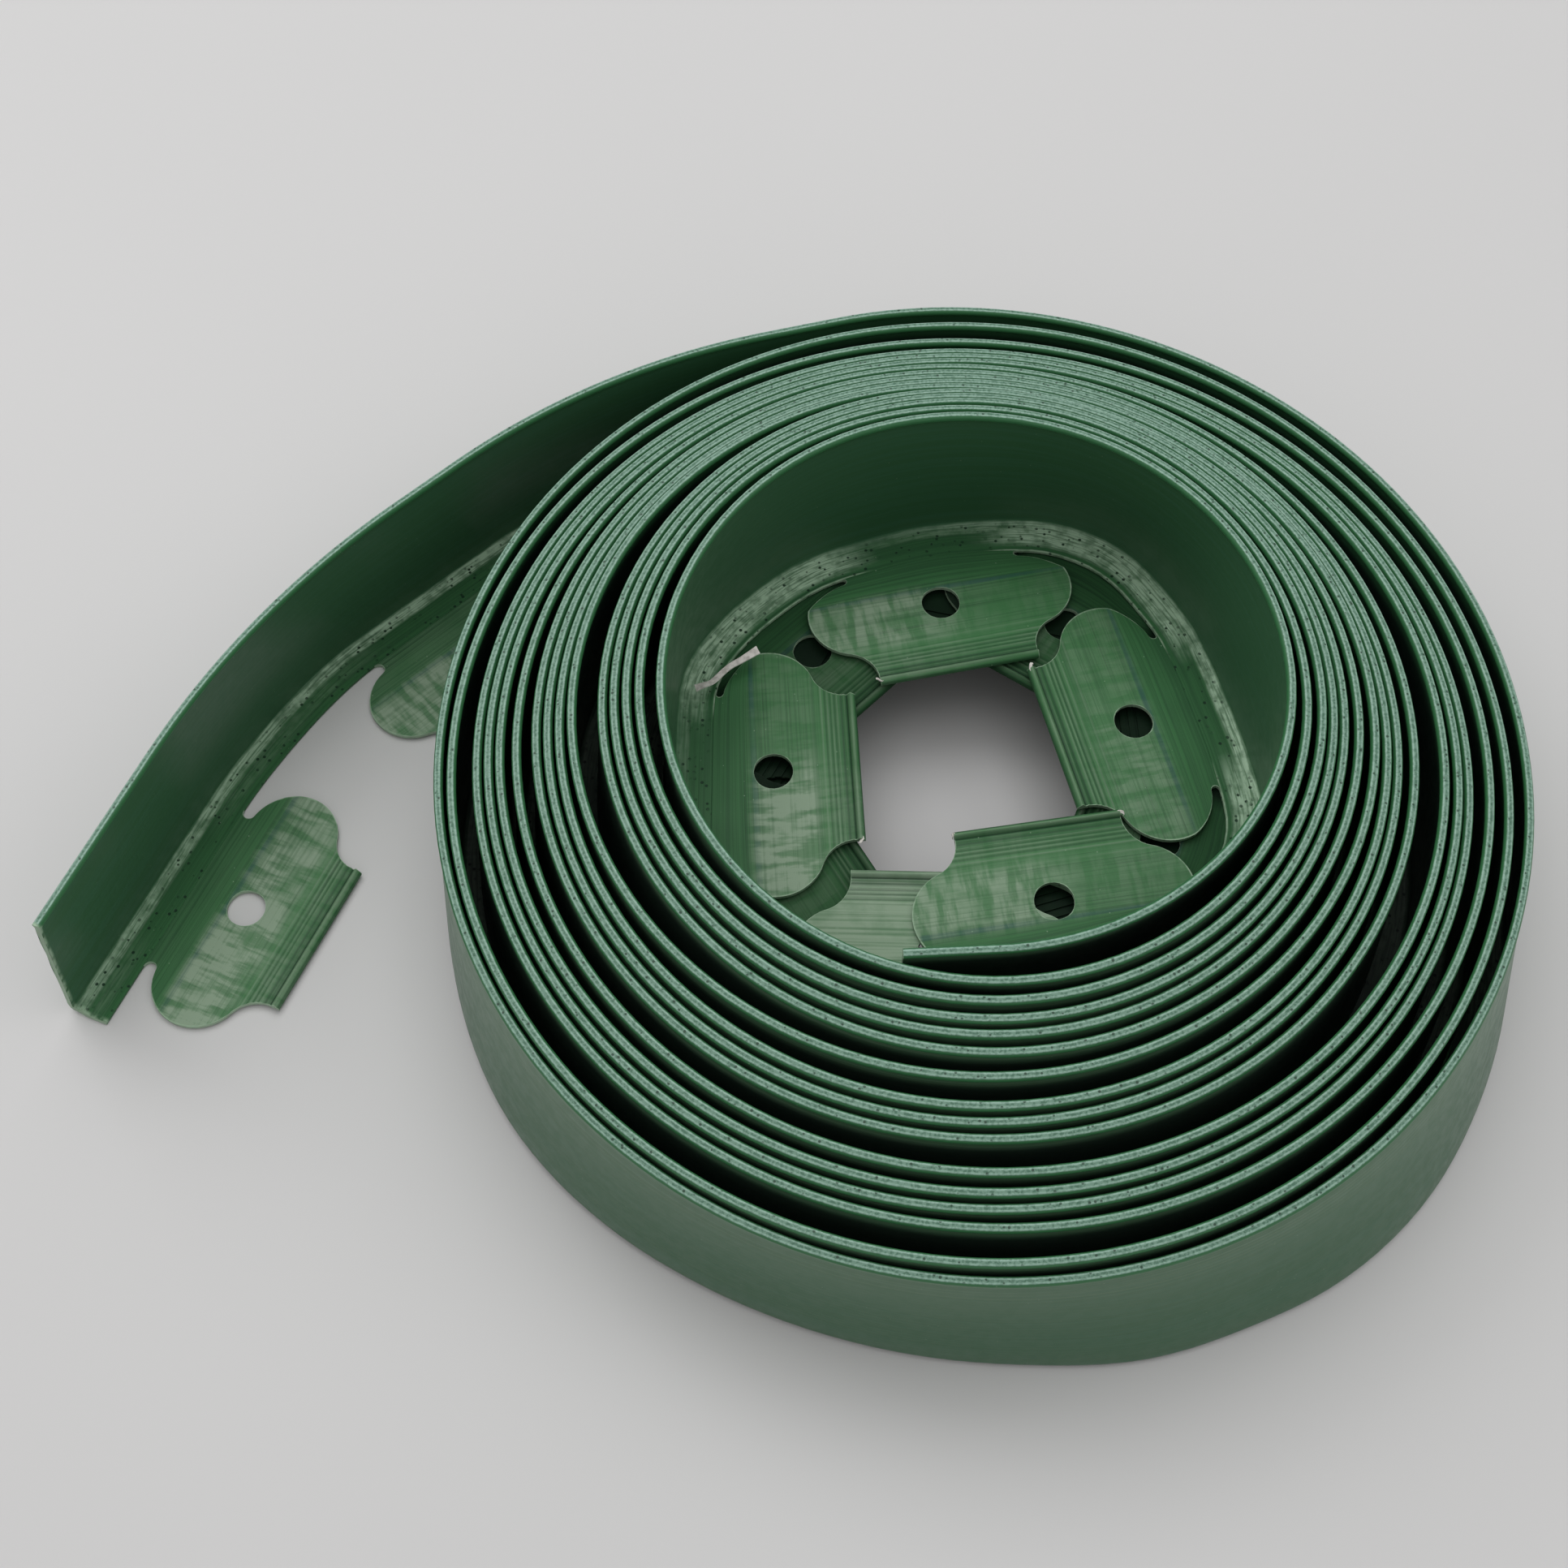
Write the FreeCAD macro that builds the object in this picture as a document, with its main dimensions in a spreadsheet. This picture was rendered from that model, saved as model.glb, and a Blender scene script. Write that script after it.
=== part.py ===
import FreeCAD, Part

import math
import os

import Sketcher

# Coil of plastic lawn edging. One L-shaped strip, an upright wall with a round bead on top and a flat
# anchor flange along its foot, is wound into a loose coil. The flange is a narrow band that carries one
# anchor tab per pitch, each with a spike hole. The last three pitches lie free of the coil as a tail.
# Millimetres, +Z up. The model stands on the floor with its box centred on the origin.

SIDES = ("front", "right", "back", "left")

# Where the innermost turn passes each side, its rim lies this far from the coil's centre.
INNER_RADII = {"front": 63.4, "right": 64.3, "back": 69.0, "left": 68.5}

# Rim to rim, from each turn to the next one out. The coil is tight at the back and slack in front.
TURN_STEPS = {
    "front": (6.2, 3.5, 3.3, 2.7, 3.1, 4.5, 5.5, 2.8, 2.9, 6.3, 3.6, 2.8, 3.3, 6.5, 2.9),
    "right": (3.4, 3.4, 2.6, 2.6, 3.4, 3.6, 2.6, 2.6, 3.9, 6.5, 3.1, 2.6, 5.0, 4.4, 5.3),
    "back": (3.2, 3.2, 2.6, 2.6, 2.6, 2.6, 2.6, 2.6, 2.9, 3.0, 2.7, 2.7, 4.4, 6.3, 6.4),
    "left": (4.6, 2.8, 2.7, 2.6, 6.6, 2.6, 2.6, 2.6, 4.2, 3.7, 2.6, 2.6, 5.6, 3.2),
}

# Degrees that the tail turns through before each of its straight stretches, from the coil outwards.
TAIL_BENDS = (21.0, 28.1, 23.8)

SIZES = {
    # Section of the strip
    "rim_height": 43.0,
    "bead_radius": 1.05,
    "wall_thickness": 1.2,
    "wall_lean": 3.5,
    "bend_radius": 2.6,
    "flange_thickness": 1.0,
    "band_width": 7.7,
    # Anchor tab, with distances from the inner face of the wall's foot
    "tab_pitch": 100.95,
    "hole_distance": 22.5,
    "hole_radius": 4.5,
    "tab_reach": 42.3,
    "neck_half_width": 20.5,
    "slot_radius": 1.6,
    "lobe_radius": 10.9,
    "shoulder_radius": 8.0,
    "lip_half_width": 18.9,
    "lip_width": 2.4,
    "groove_width": 0.7,
    "groove_depth": 0.4,
    "groove_spacing": 2.0,
    # Winding
    "turn_rise": 1.5,
    "inner_end_run": 19.1,
    "inner_end_heading": 3.0,
    "outer_end_spread": 3.0,
    "shortest_first_tab": 38.0,
    # Tail
    "tail_start": 11.5,
    "tail_bend_run": 41.5,
    "free_end_distance": 38.0,
    "flex_gap": 0.95,
    "flex_relief": 2.4,
    # Clearance between a tab and its band
    "root_clearance": 0.3,
}

GROOVE_COUNT = 5
QUARTER = math.pi / 2

# How finely the gap between turns is measured: the step along the rim, the number of points round the
# section, and how near one another two places must be to be compared.
GAP_STEP = 12.0
SECTION_POINTS = 50
NEARBY = 3.0

# Rounds that settle a place along the foot into one along the rim.
SETTLING_ROUNDS = 20

UP = FreeCAD.Vector(0, 0, 1)


def make_sheet(doc):
    """Put every driving size into the spreadsheet, one named cell each."""
    sheet = doc.addObject("Spreadsheet::Sheet", "Sizes")
    rows = dict(SIZES)
    for side in SIDES:
        rows[side + "_inner_radius"] = INNER_RADII[side]
        for number, step in enumerate(TURN_STEPS[side], start=1):
            rows["%s_step_%02d" % (side, number)] = step
    for number, bend in enumerate(TAIL_BENDS, start=1):
        rows["tail_bend_%02d" % number] = bend
    for row, (alias, value) in enumerate(rows.items(), start=1):
        cell = "B%d" % row
        sheet.set("A%d" % row, alias)
        sheet.set(cell, "%g" % value)
        sheet.setAlias(cell, alias)
    doc.recompute()
    return sheet


class Arc:
    """A circular arc or a line in space, given by its start, the direction there and its end."""

    def __init__(self, start, heading, end):
        chord = end - start
        along = FreeCAD.Vector(chord).normalize()
        across = heading - along * heading.dot(along)
        self.start = start
        self.heading = heading
        self.end = end
        self.straight = across.Length < 1e-7
        self.length = chord.Length
        self.radius = math.inf
        if not self.straight:
            half_angle = math.atan2(across.Length, heading.dot(along))
            across.normalize()
            self.radius = chord.Length / (2 * math.sin(half_angle))
            self.length = 2 * half_angle * self.radius
            self.centre = start + chord * 0.5 - across * self.radius * math.cos(half_angle)
            self.spoke = (start - self.centre) * (1 / self.radius)

    def point(self, distance):
        if self.straight:
            return self.start + self.heading * distance
        angle = distance / self.radius
        spoke = self.spoke * math.cos(angle) + self.heading * math.sin(angle)
        return self.centre + spoke * self.radius

    def direction(self, distance):
        if self.straight:
            return FreeCAD.Vector(self.heading)
        angle = distance / self.radius
        return self.heading * math.cos(angle) - self.spoke * math.sin(angle)

    def part(self, first, last):
        return Arc(self.point(first), self.direction(first), self.point(last))

    def edge(self):
        if self.straight:
            return Part.LineSegment(self.start, self.end).toShape()
        return Part.Arc(self.start, self.point(self.length / 2), self.end).toShape()


class Route:
    """Arcs joined end to end, with places on them given by the distance from the start."""

    def __init__(self, arcs):
        self.arcs = arcs
        self.length = sum(arc.length for arc in arcs)

    def find(self, distance):
        for arc in self.arcs[:-1]:
            if distance <= arc.length:
                return arc, distance
            distance -= arc.length
        return self.arcs[-1], distance

    def point(self, distance):
        arc, rest = self.find(distance)
        return arc.point(rest)

    def direction(self, distance):
        arc, rest = self.find(distance)
        return arc.direction(rest)

    def outward(self, distance):
        along = self.direction(distance)
        return FreeCAD.Vector(along.y, -along.x, 0).normalize()

    def beside(self, distance, offset):
        return self.point(distance) + self.outward(distance) * offset

    def between(self, first, last):
        """The stretch of this route from one distance to another."""
        kept = []
        for arc in self.arcs:
            if first < arc.length and last > 0:
                kept.append(arc.part(max(first, 0), min(last, arc.length)))
            first -= arc.length
            last -= arc.length
        return Route(kept)

    def wire(self):
        return Part.Wire([arc.edge() for arc in self.arcs])


def biarc(start, heading, end, end_heading):
    """Two arcs that meet smoothly between two points with given directions."""
    chord = end - start
    both = heading + end_heading
    turn = 2 * (1 - heading.dot(end_heading))
    lean = chord.dot(both)
    reach = (math.sqrt(lean * lean + turn * chord.dot(chord)) - lean) / turn
    middle = (start + end + (heading - end_heading) * reach) * 0.5
    first = Arc(start, heading, middle)
    return [first, Arc(middle, first.direction(first.length), end)]


def winding_nodes(sheet):
    """Places and directions of the rim, in plan, and height of the underside at every quarter turn.

    The strip sinks steadily as it winds outwards, so that each turn's flange passes under the turns
    inside it. It comes down to the floor in the quarter before the last front, and stays there.
    """
    turns = len(TURN_STEPS["front"]) + 1
    quarters = 4 * (turns - 1) + 3
    floor_quarter = 4 * (turns - 1)
    radii = []
    for quarter in range(quarters):
        side = SIDES[quarter % 4]
        steps = ["%s_step_%02d" % (side, number) for number in range(1, quarter // 4 + 1)]
        radii.append(sheet.get(side + "_inner_radius") + sum(sheet.get(step) for step in steps))
    growth = (radii[-1] - radii[2]) / (turns - 1)
    nodes = []
    for quarter, radius in enumerate(radii):
        azimuth = QUARTER * (quarter - 1)
        outward = FreeCAD.Vector(math.cos(azimuth), math.sin(azimuth), 0)
        around = FreeCAD.Vector(-math.sin(azimuth), math.cos(azimuth), 0)
        if quarter == 0:
            spread = -radius * math.tan(math.radians(sheet.inner_end_heading))
        elif quarter == quarters - 1:
            spread = sheet.outer_end_spread
        else:
            spread = growth / (2 * math.pi) + (radii[quarter + 1] - radii[quarter - 1] - growth / 2) / 2
        height = 0
        sink = 0
        if quarter < floor_quarter:
            height = sheet.turn_rise * (1 + (floor_quarter - 1 - quarter) / 4)
            sink = -sheet.turn_rise / (2 * math.pi)
        heading = outward * spread + around * radius + UP * sink
        nodes.append((outward * radius + UP * height, heading.normalize()))
    return nodes


def strip_route(sheet):
    """The whole strip: a straight inner end, the turns, then the tail's bends and straight runs."""
    nodes = winding_nodes(sheet)
    first_point, first_heading = nodes[0]
    inner_end = first_point - first_heading * sheet.inner_end_run
    arcs = [Arc(inner_end, first_heading, first_point)]
    for (start, heading), (end, end_heading) in zip(nodes, nodes[1:]):
        arcs += biarc(start, heading, end, end_heading)
    winding = Route(arcs)
    root = winding.length - sheet.tail_start
    arcs = winding.between(0, root).arcs
    bend_run = sheet.tail_bend_run
    straight_run = sheet.tab_pitch - 2 * bend_run
    bends = [math.radians(sheet.get("tail_bend_%02d" % number)) for number in (1, 2, 3)]
    for number, bend in enumerate(bends):
        run = bend_run
        if number > 0:
            run = 2 * bend_run
        arcs.append(turning_arc(arcs[-1], run, bend))
        arcs.append(turning_arc(arcs[-1], straight_run, 0))
    last_run = sheet.tab_pitch / 2 + sheet.free_end_distance - bend_run
    arcs[-1] = turning_arc(arcs[-2], last_run, 0)
    return Route(arcs), root


def turning_arc(before, run, turn):
    """An arc that carries on level from the one before it and turns to the left by an angle."""
    start = before.point(before.length)
    heading = before.direction(before.length)
    heading.z = 0
    heading.normalize()
    if turn == 0:
        return Arc(start, heading, start + heading * run)
    left = UP.cross(heading)
    radius = run / turn
    end = start + heading * radius * math.sin(turn) + left * radius * (1 - math.cos(turn))
    return Arc(start, heading, end)


def corner(before, point, after, radius):
    """The start, middle and end of the arc that rounds a corner of an outline."""
    first = (before - point).normalize()
    second = (after - point).normalize()
    half_angle = first.getAngle(second) / 2
    bisector = (first + second).normalize()
    reach = radius / math.tan(half_angle)
    middle = point + bisector * (radius / math.sin(half_angle) - radius)
    return point + first * reach, middle, point + second * reach


def strip_section(sheet):
    """Outline of the strip as corner points, x outward from the rim's centre and y up.

    The wall leans in towards its rim. Returned are the outer face's top and foot, the band's lower
    and upper inner corners, the inner face's foot and top, and the crown of the bead.
    """
    rim = FreeCAD.Vector(0, sheet.rim_height, 0)
    foot = FreeCAD.Vector(sheet.wall_lean, 0, 0)
    rise = (rim - foot).normalize()
    side = FreeCAD.Vector(rise.y, -rise.x, 0) * (sheet.wall_thickness / 2)
    under_bead = math.sqrt(sheet.bead_radius ** 2 - (sheet.wall_thickness / 2) ** 2)
    outer_top = rim - rise * under_bead + side
    inner_top = rim - rise * under_bead - side
    outer_foot = outer_top - rise * (outer_top.y / rise.y)
    inner_foot = inner_top - rise * ((inner_top.y - sheet.flange_thickness) / rise.y)
    band_low = FreeCAD.Vector(band_edge(sheet), 0, 0)
    band_high = FreeCAD.Vector(band_edge(sheet), sheet.flange_thickness, 0)
    crown = rim + rise * sheet.bead_radius
    return outer_top, outer_foot, band_low, band_high, inner_foot, inner_top, crown


def foot_face(sheet):
    """Offset of the inner face of the wall's foot from the rim's centre, outwards."""
    return sheet.wall_lean - sheet.wall_thickness / 2


def band_edge(sheet):
    """Offset of the band's free edge from the rim's centre, outwards."""
    return foot_face(sheet) - sheet.band_width


def section_wire(sheet, place):
    """The strip's outline as a wire, with each point put in its place by the given function."""
    outer_top, outer_foot, band_low, band_high, inner_foot, inner_top, crown = strip_section(sheet)
    outer_bend = corner(outer_top, outer_foot, band_low, sheet.bend_radius)
    inner_bend = corner(band_high, inner_foot, inner_top, sheet.bend_radius - sheet.wall_thickness)
    stops = [
        (outer_top, outer_bend[0]), outer_bend, (outer_bend[2], band_low), (band_low, band_high),
        (band_high, inner_bend[0]), inner_bend, (inner_bend[2], inner_top), (inner_top, crown, outer_top),
    ]
    edges = []
    for stop in stops:
        points = [place(point) for point in stop]
        if len(points) == 2:
            edges.append(Part.LineSegment(*points).toShape())
        else:
            edges.append(Part.Arc(*points).toShape())
    return Part.Wire(edges)


def strip_solid(sheet, route):
    """The strip's section carried along a route, always upright."""
    start = route.point(0)
    outward = route.outward(0)
    sweep = Part.BRepOffsetAPI.MakePipeShell(route.wire())
    sweep.setBiNormalMode(UP)
    sweep.add(section_wire(sheet, lambda point: start + outward * point.x + UP * point.y))
    sweep.build()
    sweep.makeSolid()
    return sweep.shape()


def flex_relief(sheet, route, at_end):
    """A wedge that opens the band at one end of a tail piece, so that the strip can bend there."""
    distance = 0
    inwards = 1
    if at_end:
        distance = route.length
        inwards = -1
    place = route.point(distance)
    outward = route.outward(distance)
    along = route.direction(distance) * inwards
    tip = place + outward * foot_face(sheet)
    edge = place + outward * (band_edge(sheet) - sheet.root_clearance)
    beyond = along * -sheet.flex_gap
    corners = [tip + beyond, tip, edge + along * sheet.flex_relief, edge + beyond, tip + beyond]
    wedge = Part.Face(Part.makePolygon(corners)).extrude(UP * (2 * sheet.flange_thickness))
    wedge.translate(UP * (-sheet.flange_thickness / 2))
    return wedge


def tail_spans(sheet, route, root):
    """First and last distance of each tail piece, from the coil outwards."""
    stops = [root, root + sheet.tab_pitch, root + 2 * sheet.tab_pitch, route.length]
    return list(zip(stops, stops[1:]))


def tail_strip(sheet, route, span):
    """One pitch of the tail's wall and band, with half the flexing gap left at each joint."""
    first, last = span
    first += sheet.flex_gap / 2
    joined_outside = last < route.length
    if joined_outside:
        last -= sheet.flex_gap / 2
    stretch = route.between(first, last)
    solid = strip_solid(sheet, stretch).cut(flex_relief(sheet, stretch, at_end=False))
    if joined_outside:
        solid = solid.cut(flex_relief(sheet, stretch, at_end=True))
    return solid


def add_tab_outline(sketch):
    """Half of an anchor tab, x along the strip from its middle and y from the wall's foot.

    The outline goes along the root on the band, up the neck, round the slot's end, the lobe and the
    hollow shoulder to the lip, and back along the middle.
    """
    line = Part.LineSegment
    point = FreeCAD.Vector
    size = SIZES
    neck = size["neck_half_width"]
    lobe = size["lobe_radius"]
    slot = size["slot_radius"]
    shoulder = size["shoulder_radius"]
    lip = size["lip_half_width"]
    tip = size["tab_reach"]
    root = size["band_width"] + size["root_clearance"]
    middle = point(neck, size["hole_distance"], 0)
    slot_centre = middle + point(slot, -math.sqrt(lobe ** 2 + 2 * lobe * slot), 0)
    shoulder_out = lip + shoulder - neck
    shoulder_centre = middle + point(shoulder_out, math.sqrt((lobe + shoulder) ** 2 - shoulder_out ** 2), 0)
    slot_angle = math.atan2(middle.y - slot_centre.y, middle.x - slot_centre.x)
    shoulder_angle = math.atan2(middle.y - shoulder_centre.y, middle.x - shoulder_centre.x) + 2 * math.pi
    slot_circle = Part.Circle(slot_centre, UP, slot)
    lobe_circle = Part.Circle(middle, UP, lobe)
    shoulder_circle = Part.Circle(shoulder_centre, UP, shoulder)
    names = {}
    names["root"] = sketch.addGeometry(line(point(0, root, 0), point(neck, root, 0)))
    names["neck"] = sketch.addGeometry(line(point(neck, root, 0), point(neck, slot_centre.y, 0)))
    names["slot"] = sketch.addGeometry(Part.ArcOfCircle(slot_circle, slot_angle, math.pi))
    names["lobe"] = sketch.addGeometry(
        Part.ArcOfCircle(lobe_circle, slot_angle - math.pi, shoulder_angle - math.pi))
    names["shoulder"] = sketch.addGeometry(Part.ArcOfCircle(shoulder_circle, math.pi, shoulder_angle))
    names["lip_end"] = sketch.addGeometry(line(point(lip, shoulder_centre.y, 0), point(lip, tip, 0)))
    names["lip"] = sketch.addGeometry(line(point(lip, tip, 0), point(0, tip, 0)))
    names["middle"] = sketch.addGeometry(line(point(0, tip, 0), point(0, root, 0)))
    return names


START, END, CENTRE = 1, 2, 3
ORIGIN = (-1, 1)


def constrain_tab_outline(sketch, names):
    """Tie the half outline to the sheet."""
    rule = Sketcher.Constraint
    joins = [
        ("root", END, "neck", START), ("lip_end", END, "lip", START), ("lip", END, "middle", START),
        ("middle", END, "root", START),
    ]
    tangents = [
        ("neck", END, "slot", END), ("slot", START, "lobe", START), ("lobe", END, "shoulder", END),
        ("shoulder", START, "lip_end", START),
    ]
    for first, first_end, second, second_end in joins:
        sketch.addConstraint(rule("Coincident", names[first], first_end, names[second], second_end))
    for first, first_end, second, second_end in tangents:
        sketch.addConstraint(rule("Tangent", names[first], first_end, names[second], second_end))
    sketch.addConstraint(rule("Horizontal", names["root"]))
    sketch.addConstraint(rule("Vertical", names["neck"]))
    sketch.addConstraint(rule("Vertical", names["lip_end"]))
    sketch.addConstraint(rule("Horizontal", names["lip"]))
    sketch.addConstraint(rule("PointOnObject", names["middle"], START, -2))
    sketch.addConstraint(rule("PointOnObject", names["middle"], END, -2))
    place_by(sketch, "DistanceX", names["neck"], START, "Sizes.neck_half_width", SIZES["neck_half_width"])
    place_by(sketch, "DistanceX", names["lobe"], CENTRE, "Sizes.neck_half_width", SIZES["neck_half_width"])
    place_by(sketch, "DistanceY", names["lobe"], CENTRE, "Sizes.hole_distance", SIZES["hole_distance"])
    place_by(sketch, "DistanceX", names["lip_end"], END, "Sizes.lip_half_width", SIZES["lip_half_width"])
    place_by(sketch, "DistanceY", names["lip_end"], END, "Sizes.tab_reach", SIZES["tab_reach"])
    place_by(sketch, "DistanceY", names["root"], START, "Sizes.band_width + Sizes.root_clearance",
             SIZES["band_width"] + SIZES["root_clearance"])
    for name in ("slot", "lobe", "shoulder"):
        size = name + "_radius"
        number = sketch.addConstraint(rule("Radius", names[name], SIZES[size]))
        sketch.setExpression("Constraints[%d]" % number, "Sizes." + size)


def place_by(sketch, kind, geometry, end, expression, value):
    """Give a point of the sketch its distance from the sketch's origin."""
    number = sketch.addConstraint(Sketcher.Constraint(kind, *ORIGIN, geometry, end, value))
    sketch.setExpression("Constraints[%d]" % number, expression)


def add_sketch(body, name, height_expression=None):
    """An empty sketch on the body's ground plane, or lifted above it."""
    ground = [feature for feature in body.Origin.OriginFeatures if feature.Role == "XY_Plane"][0]
    sketch = body.newObject("Sketcher::SketchObject", name)
    sketch.AttachmentSupport = [(ground, "")]
    sketch.MapMode = "FlatFace"
    if height_expression:
        sketch.setExpression("AttachmentOffset.Base.z", height_expression)
    return sketch


def make_tab(doc, name):
    """One anchor tab: half a plate mirrored, its spike hole, and the grooves along its lip."""
    body = doc.addObject("PartDesign::Body", name)
    body.Label = name
    outline = add_sketch(body, name + "_outline")
    constrain_tab_outline(outline, add_tab_outline(outline))
    plate = body.newObject("PartDesign::Pad", name + "_plate")
    plate.Profile = outline
    plate.setExpression("Length", "Sizes.flange_thickness")
    doc.recompute()
    side_plane = [feature for feature in body.Origin.OriginFeatures if feature.Role == "YZ_Plane"][0]
    mirrored = body.newObject("PartDesign::Mirrored", name + "_both_halves")
    mirrored.Originals = [plate]
    mirrored.MirrorPlane = (side_plane, [""])
    body.Tip = mirrored
    doc.recompute()

    hole_sketch = add_sketch(body, name + "_hole_outline", "Sizes.flange_thickness")
    centre = FreeCAD.Vector(0, SIZES["hole_distance"], 0)
    circle = hole_sketch.addGeometry(Part.Circle(centre, UP, SIZES["hole_radius"]))
    hole_sketch.addConstraint(Sketcher.Constraint("PointOnObject", circle, CENTRE, -2))
    place_by(hole_sketch, "DistanceY", circle, CENTRE, "Sizes.hole_distance", SIZES["hole_distance"])
    number = hole_sketch.addConstraint(Sketcher.Constraint("Radius", circle, SIZES["hole_radius"]))
    hole_sketch.setExpression("Constraints[%d]" % number, "Sizes.hole_radius")
    hole = body.newObject("PartDesign::Pocket", name + "_hole")
    hole.Profile = hole_sketch
    hole.Type = "ThroughAll"
    doc.recompute()

    groove_sketch = add_sketch(body, name + "_groove_outline", "Sizes.flange_thickness")
    add_groove_outline(groove_sketch)
    groove = body.newObject("PartDesign::Pocket", name + "_groove")
    groove.Profile = groove_sketch
    groove.setExpression("Length", "Sizes.groove_depth")
    doc.recompute()
    grooves = body.newObject("PartDesign::LinearPattern", name + "_grooves")
    grooves.Originals = [groove]
    grooves.Direction = (groove_sketch, ["V_Axis"])
    grooves.Reversed = True
    grooves.Occurrences = GROOVE_COUNT
    grooves.setExpression("Length", "Sizes.groove_spacing * %d" % (GROOVE_COUNT - 1))
    body.Tip = grooves
    doc.recompute()
    return body


def add_groove_outline(sketch):
    """The groove behind the lip, cut right across the tab."""
    rule = Sketcher.Constraint
    half_length = SIZES["neck_half_width"] + SIZES["lobe_radius"]
    high = SIZES["tab_reach"] - SIZES["lip_width"]
    low = high - SIZES["groove_width"]
    corners = [
        FreeCAD.Vector(-half_length, low, 0), FreeCAD.Vector(half_length, low, 0),
        FreeCAD.Vector(half_length, high, 0), FreeCAD.Vector(-half_length, high, 0),
    ]
    sides = []
    for first, second in zip(corners, corners[1:] + corners[:1]):
        sides.append(sketch.addGeometry(Part.LineSegment(first, second)))
    for number, side in enumerate(sides):
        sketch.addConstraint(rule("Coincident", side, END, sides[(number + 1) % 4], START))
        sketch.addConstraint(rule("Vertical" if number % 2 else "Horizontal", side))
    place_by(sketch, "DistanceX", sides[1], START, "Sizes.neck_half_width + Sizes.lobe_radius", half_length)
    place_by(sketch, "DistanceX", sides[3], START, "-(Sizes.neck_half_width + Sizes.lobe_radius)", -half_length)
    place_by(sketch, "DistanceY", sides[1], END, "Sizes.tab_reach - Sizes.lip_width", high)
    place_by(sketch, "DistanceY", sides[1], START,
             "Sizes.tab_reach - Sizes.lip_width - Sizes.groove_width", low)


def tab_seat(sheet, route, distance):
    """Place of the tab whose middle is at a distance, and how far its band bows away from it.

    The tab is flat and its root spans the band's edge like a chord. It tilts with the strip.
    """
    edge = band_edge(sheet) - sheet.root_clearance
    arc, rest = route.find(distance)
    reach = sheet.neck_half_width
    if not arc.straight:
        reach = arc.radius * math.asin(sheet.neck_half_width / (arc.radius + edge))
    first = route.beside(distance - reach, edge)
    last = route.beside(distance + reach, edge)
    middle = route.beside(distance, edge)
    lobe_end = sheet.neck_half_width + sheet.lobe_radius
    low = route.point(distance + lobe_end).z
    high = route.point(distance - lobe_end).z
    along = FreeCAD.Vector(last.x - first.x, last.y - first.y, 0).normalize()
    inward = UP.cross(along)
    seat = (first + last) * 0.5
    bow = (seat - middle).dot(inward)
    along_slope = (along * (2 * lobe_end) + UP * (low - high)).normalize()
    origin = seat - inward * (sheet.band_width + sheet.root_clearance)
    origin.z = (low + high) / 2
    turn = FreeCAD.Rotation(along_slope, inward, along_slope.cross(inward), "XYZ")
    return FreeCAD.Placement(origin, turn), bow


def seated_tab(sheet, tab, placement, bow):
    """A copy of the tab in its place, with its root grown out to the curved edge of the band."""
    root = sheet.band_width + sheet.root_clearance
    left = FreeCAD.Vector(-sheet.neck_half_width, root, 0)
    right = FreeCAD.Vector(sheet.neck_half_width, root, 0)
    outline = [Part.Arc(left, FreeCAD.Vector(0, root - bow, 0), right).toShape()]
    outline.append(Part.LineSegment(right, left).toShape())
    bulge = Part.Face(Part.Wire(outline)).extrude(UP * sheet.flange_thickness)
    whole = tab.fuse(bulge).removeSplitter().Solids[0]
    whole.Placement = placement
    return whole


def turned_angle(route, distance):
    """How far the strip has turned, in radians, from its start to a distance."""
    angle = 0
    for arc in route.arcs:
        run = min(distance, arc.length)
        if run <= 0:
            break
        angle += run / arc.radius
        distance -= run
    return angle


def tab_distances(sheet, route, root):
    """Distances of the coil's tabs along the rim, from the inner end.

    The tabs are a pitch apart along the foot, which the lean puts outside the rim. They are counted
    back from the coil's outer end, half a pitch inside it.
    """
    def foot_distance(distance):
        return distance + sheet.wall_lean * turned_angle(route, distance)

    foot_length = foot_distance(root)
    count = int((foot_length - sheet.shortest_first_tab) / sheet.tab_pitch + 0.5)
    distances = []
    for number in range(count):
        target = foot_length - sheet.tab_pitch * (count - number - 0.5)
        distance = target
        for _ in range(SETTLING_ROUNDS):
            distance += target - foot_distance(distance)
        distances.append(distance)
    return distances


def turn_number(sheet, route, distance):
    """Which turn, counted from 1, a place belongs to. A turn starts where the coil passes the front."""
    first_front = turned_angle(route, sheet.inner_end_run)
    return max(1, 1 + int((turned_angle(route, distance) - first_front) / (4 * QUARTER)))


def outline_points(sheet):
    """Points round the strip's section, for measuring gaps."""
    wire = section_wire(sheet, lambda point: point)
    return wire.discretize(Number=SECTION_POINTS)


def least_gap(sheet, route, last):
    """Smallest distance from one turn of the strip to the next, measured on points of the section."""
    track = []
    angle = None
    for number in range(int(last / GAP_STEP)):
        place = route.point(number * GAP_STEP)
        azimuth = math.atan2(place.y, place.x)
        if angle is None:
            angle = azimuth
        angle += (azimuth - angle + math.pi) % (2 * math.pi) - math.pi
        track.append((angle, math.hypot(place.x, place.y), place.z))
    points = outline_points(sheet)
    smallest = math.inf
    outer = 0
    for angle, radius, height in track:
        while outer < len(track) and track[outer][0] < angle + 4 * QUARTER:
            outer += 1
        if outer == len(track):
            break
        before, after = track[outer - 1], track[outer]
        share = (angle + 4 * QUARTER - before[0]) / (after[0] - before[0])
        step_out = before[1] + share * (after[1] - before[1]) - radius
        step_down = before[2] + share * (after[2] - before[2]) - height
        smallest = min(smallest, outline_gap(points, step_out, step_down, smallest))
    return smallest


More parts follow.
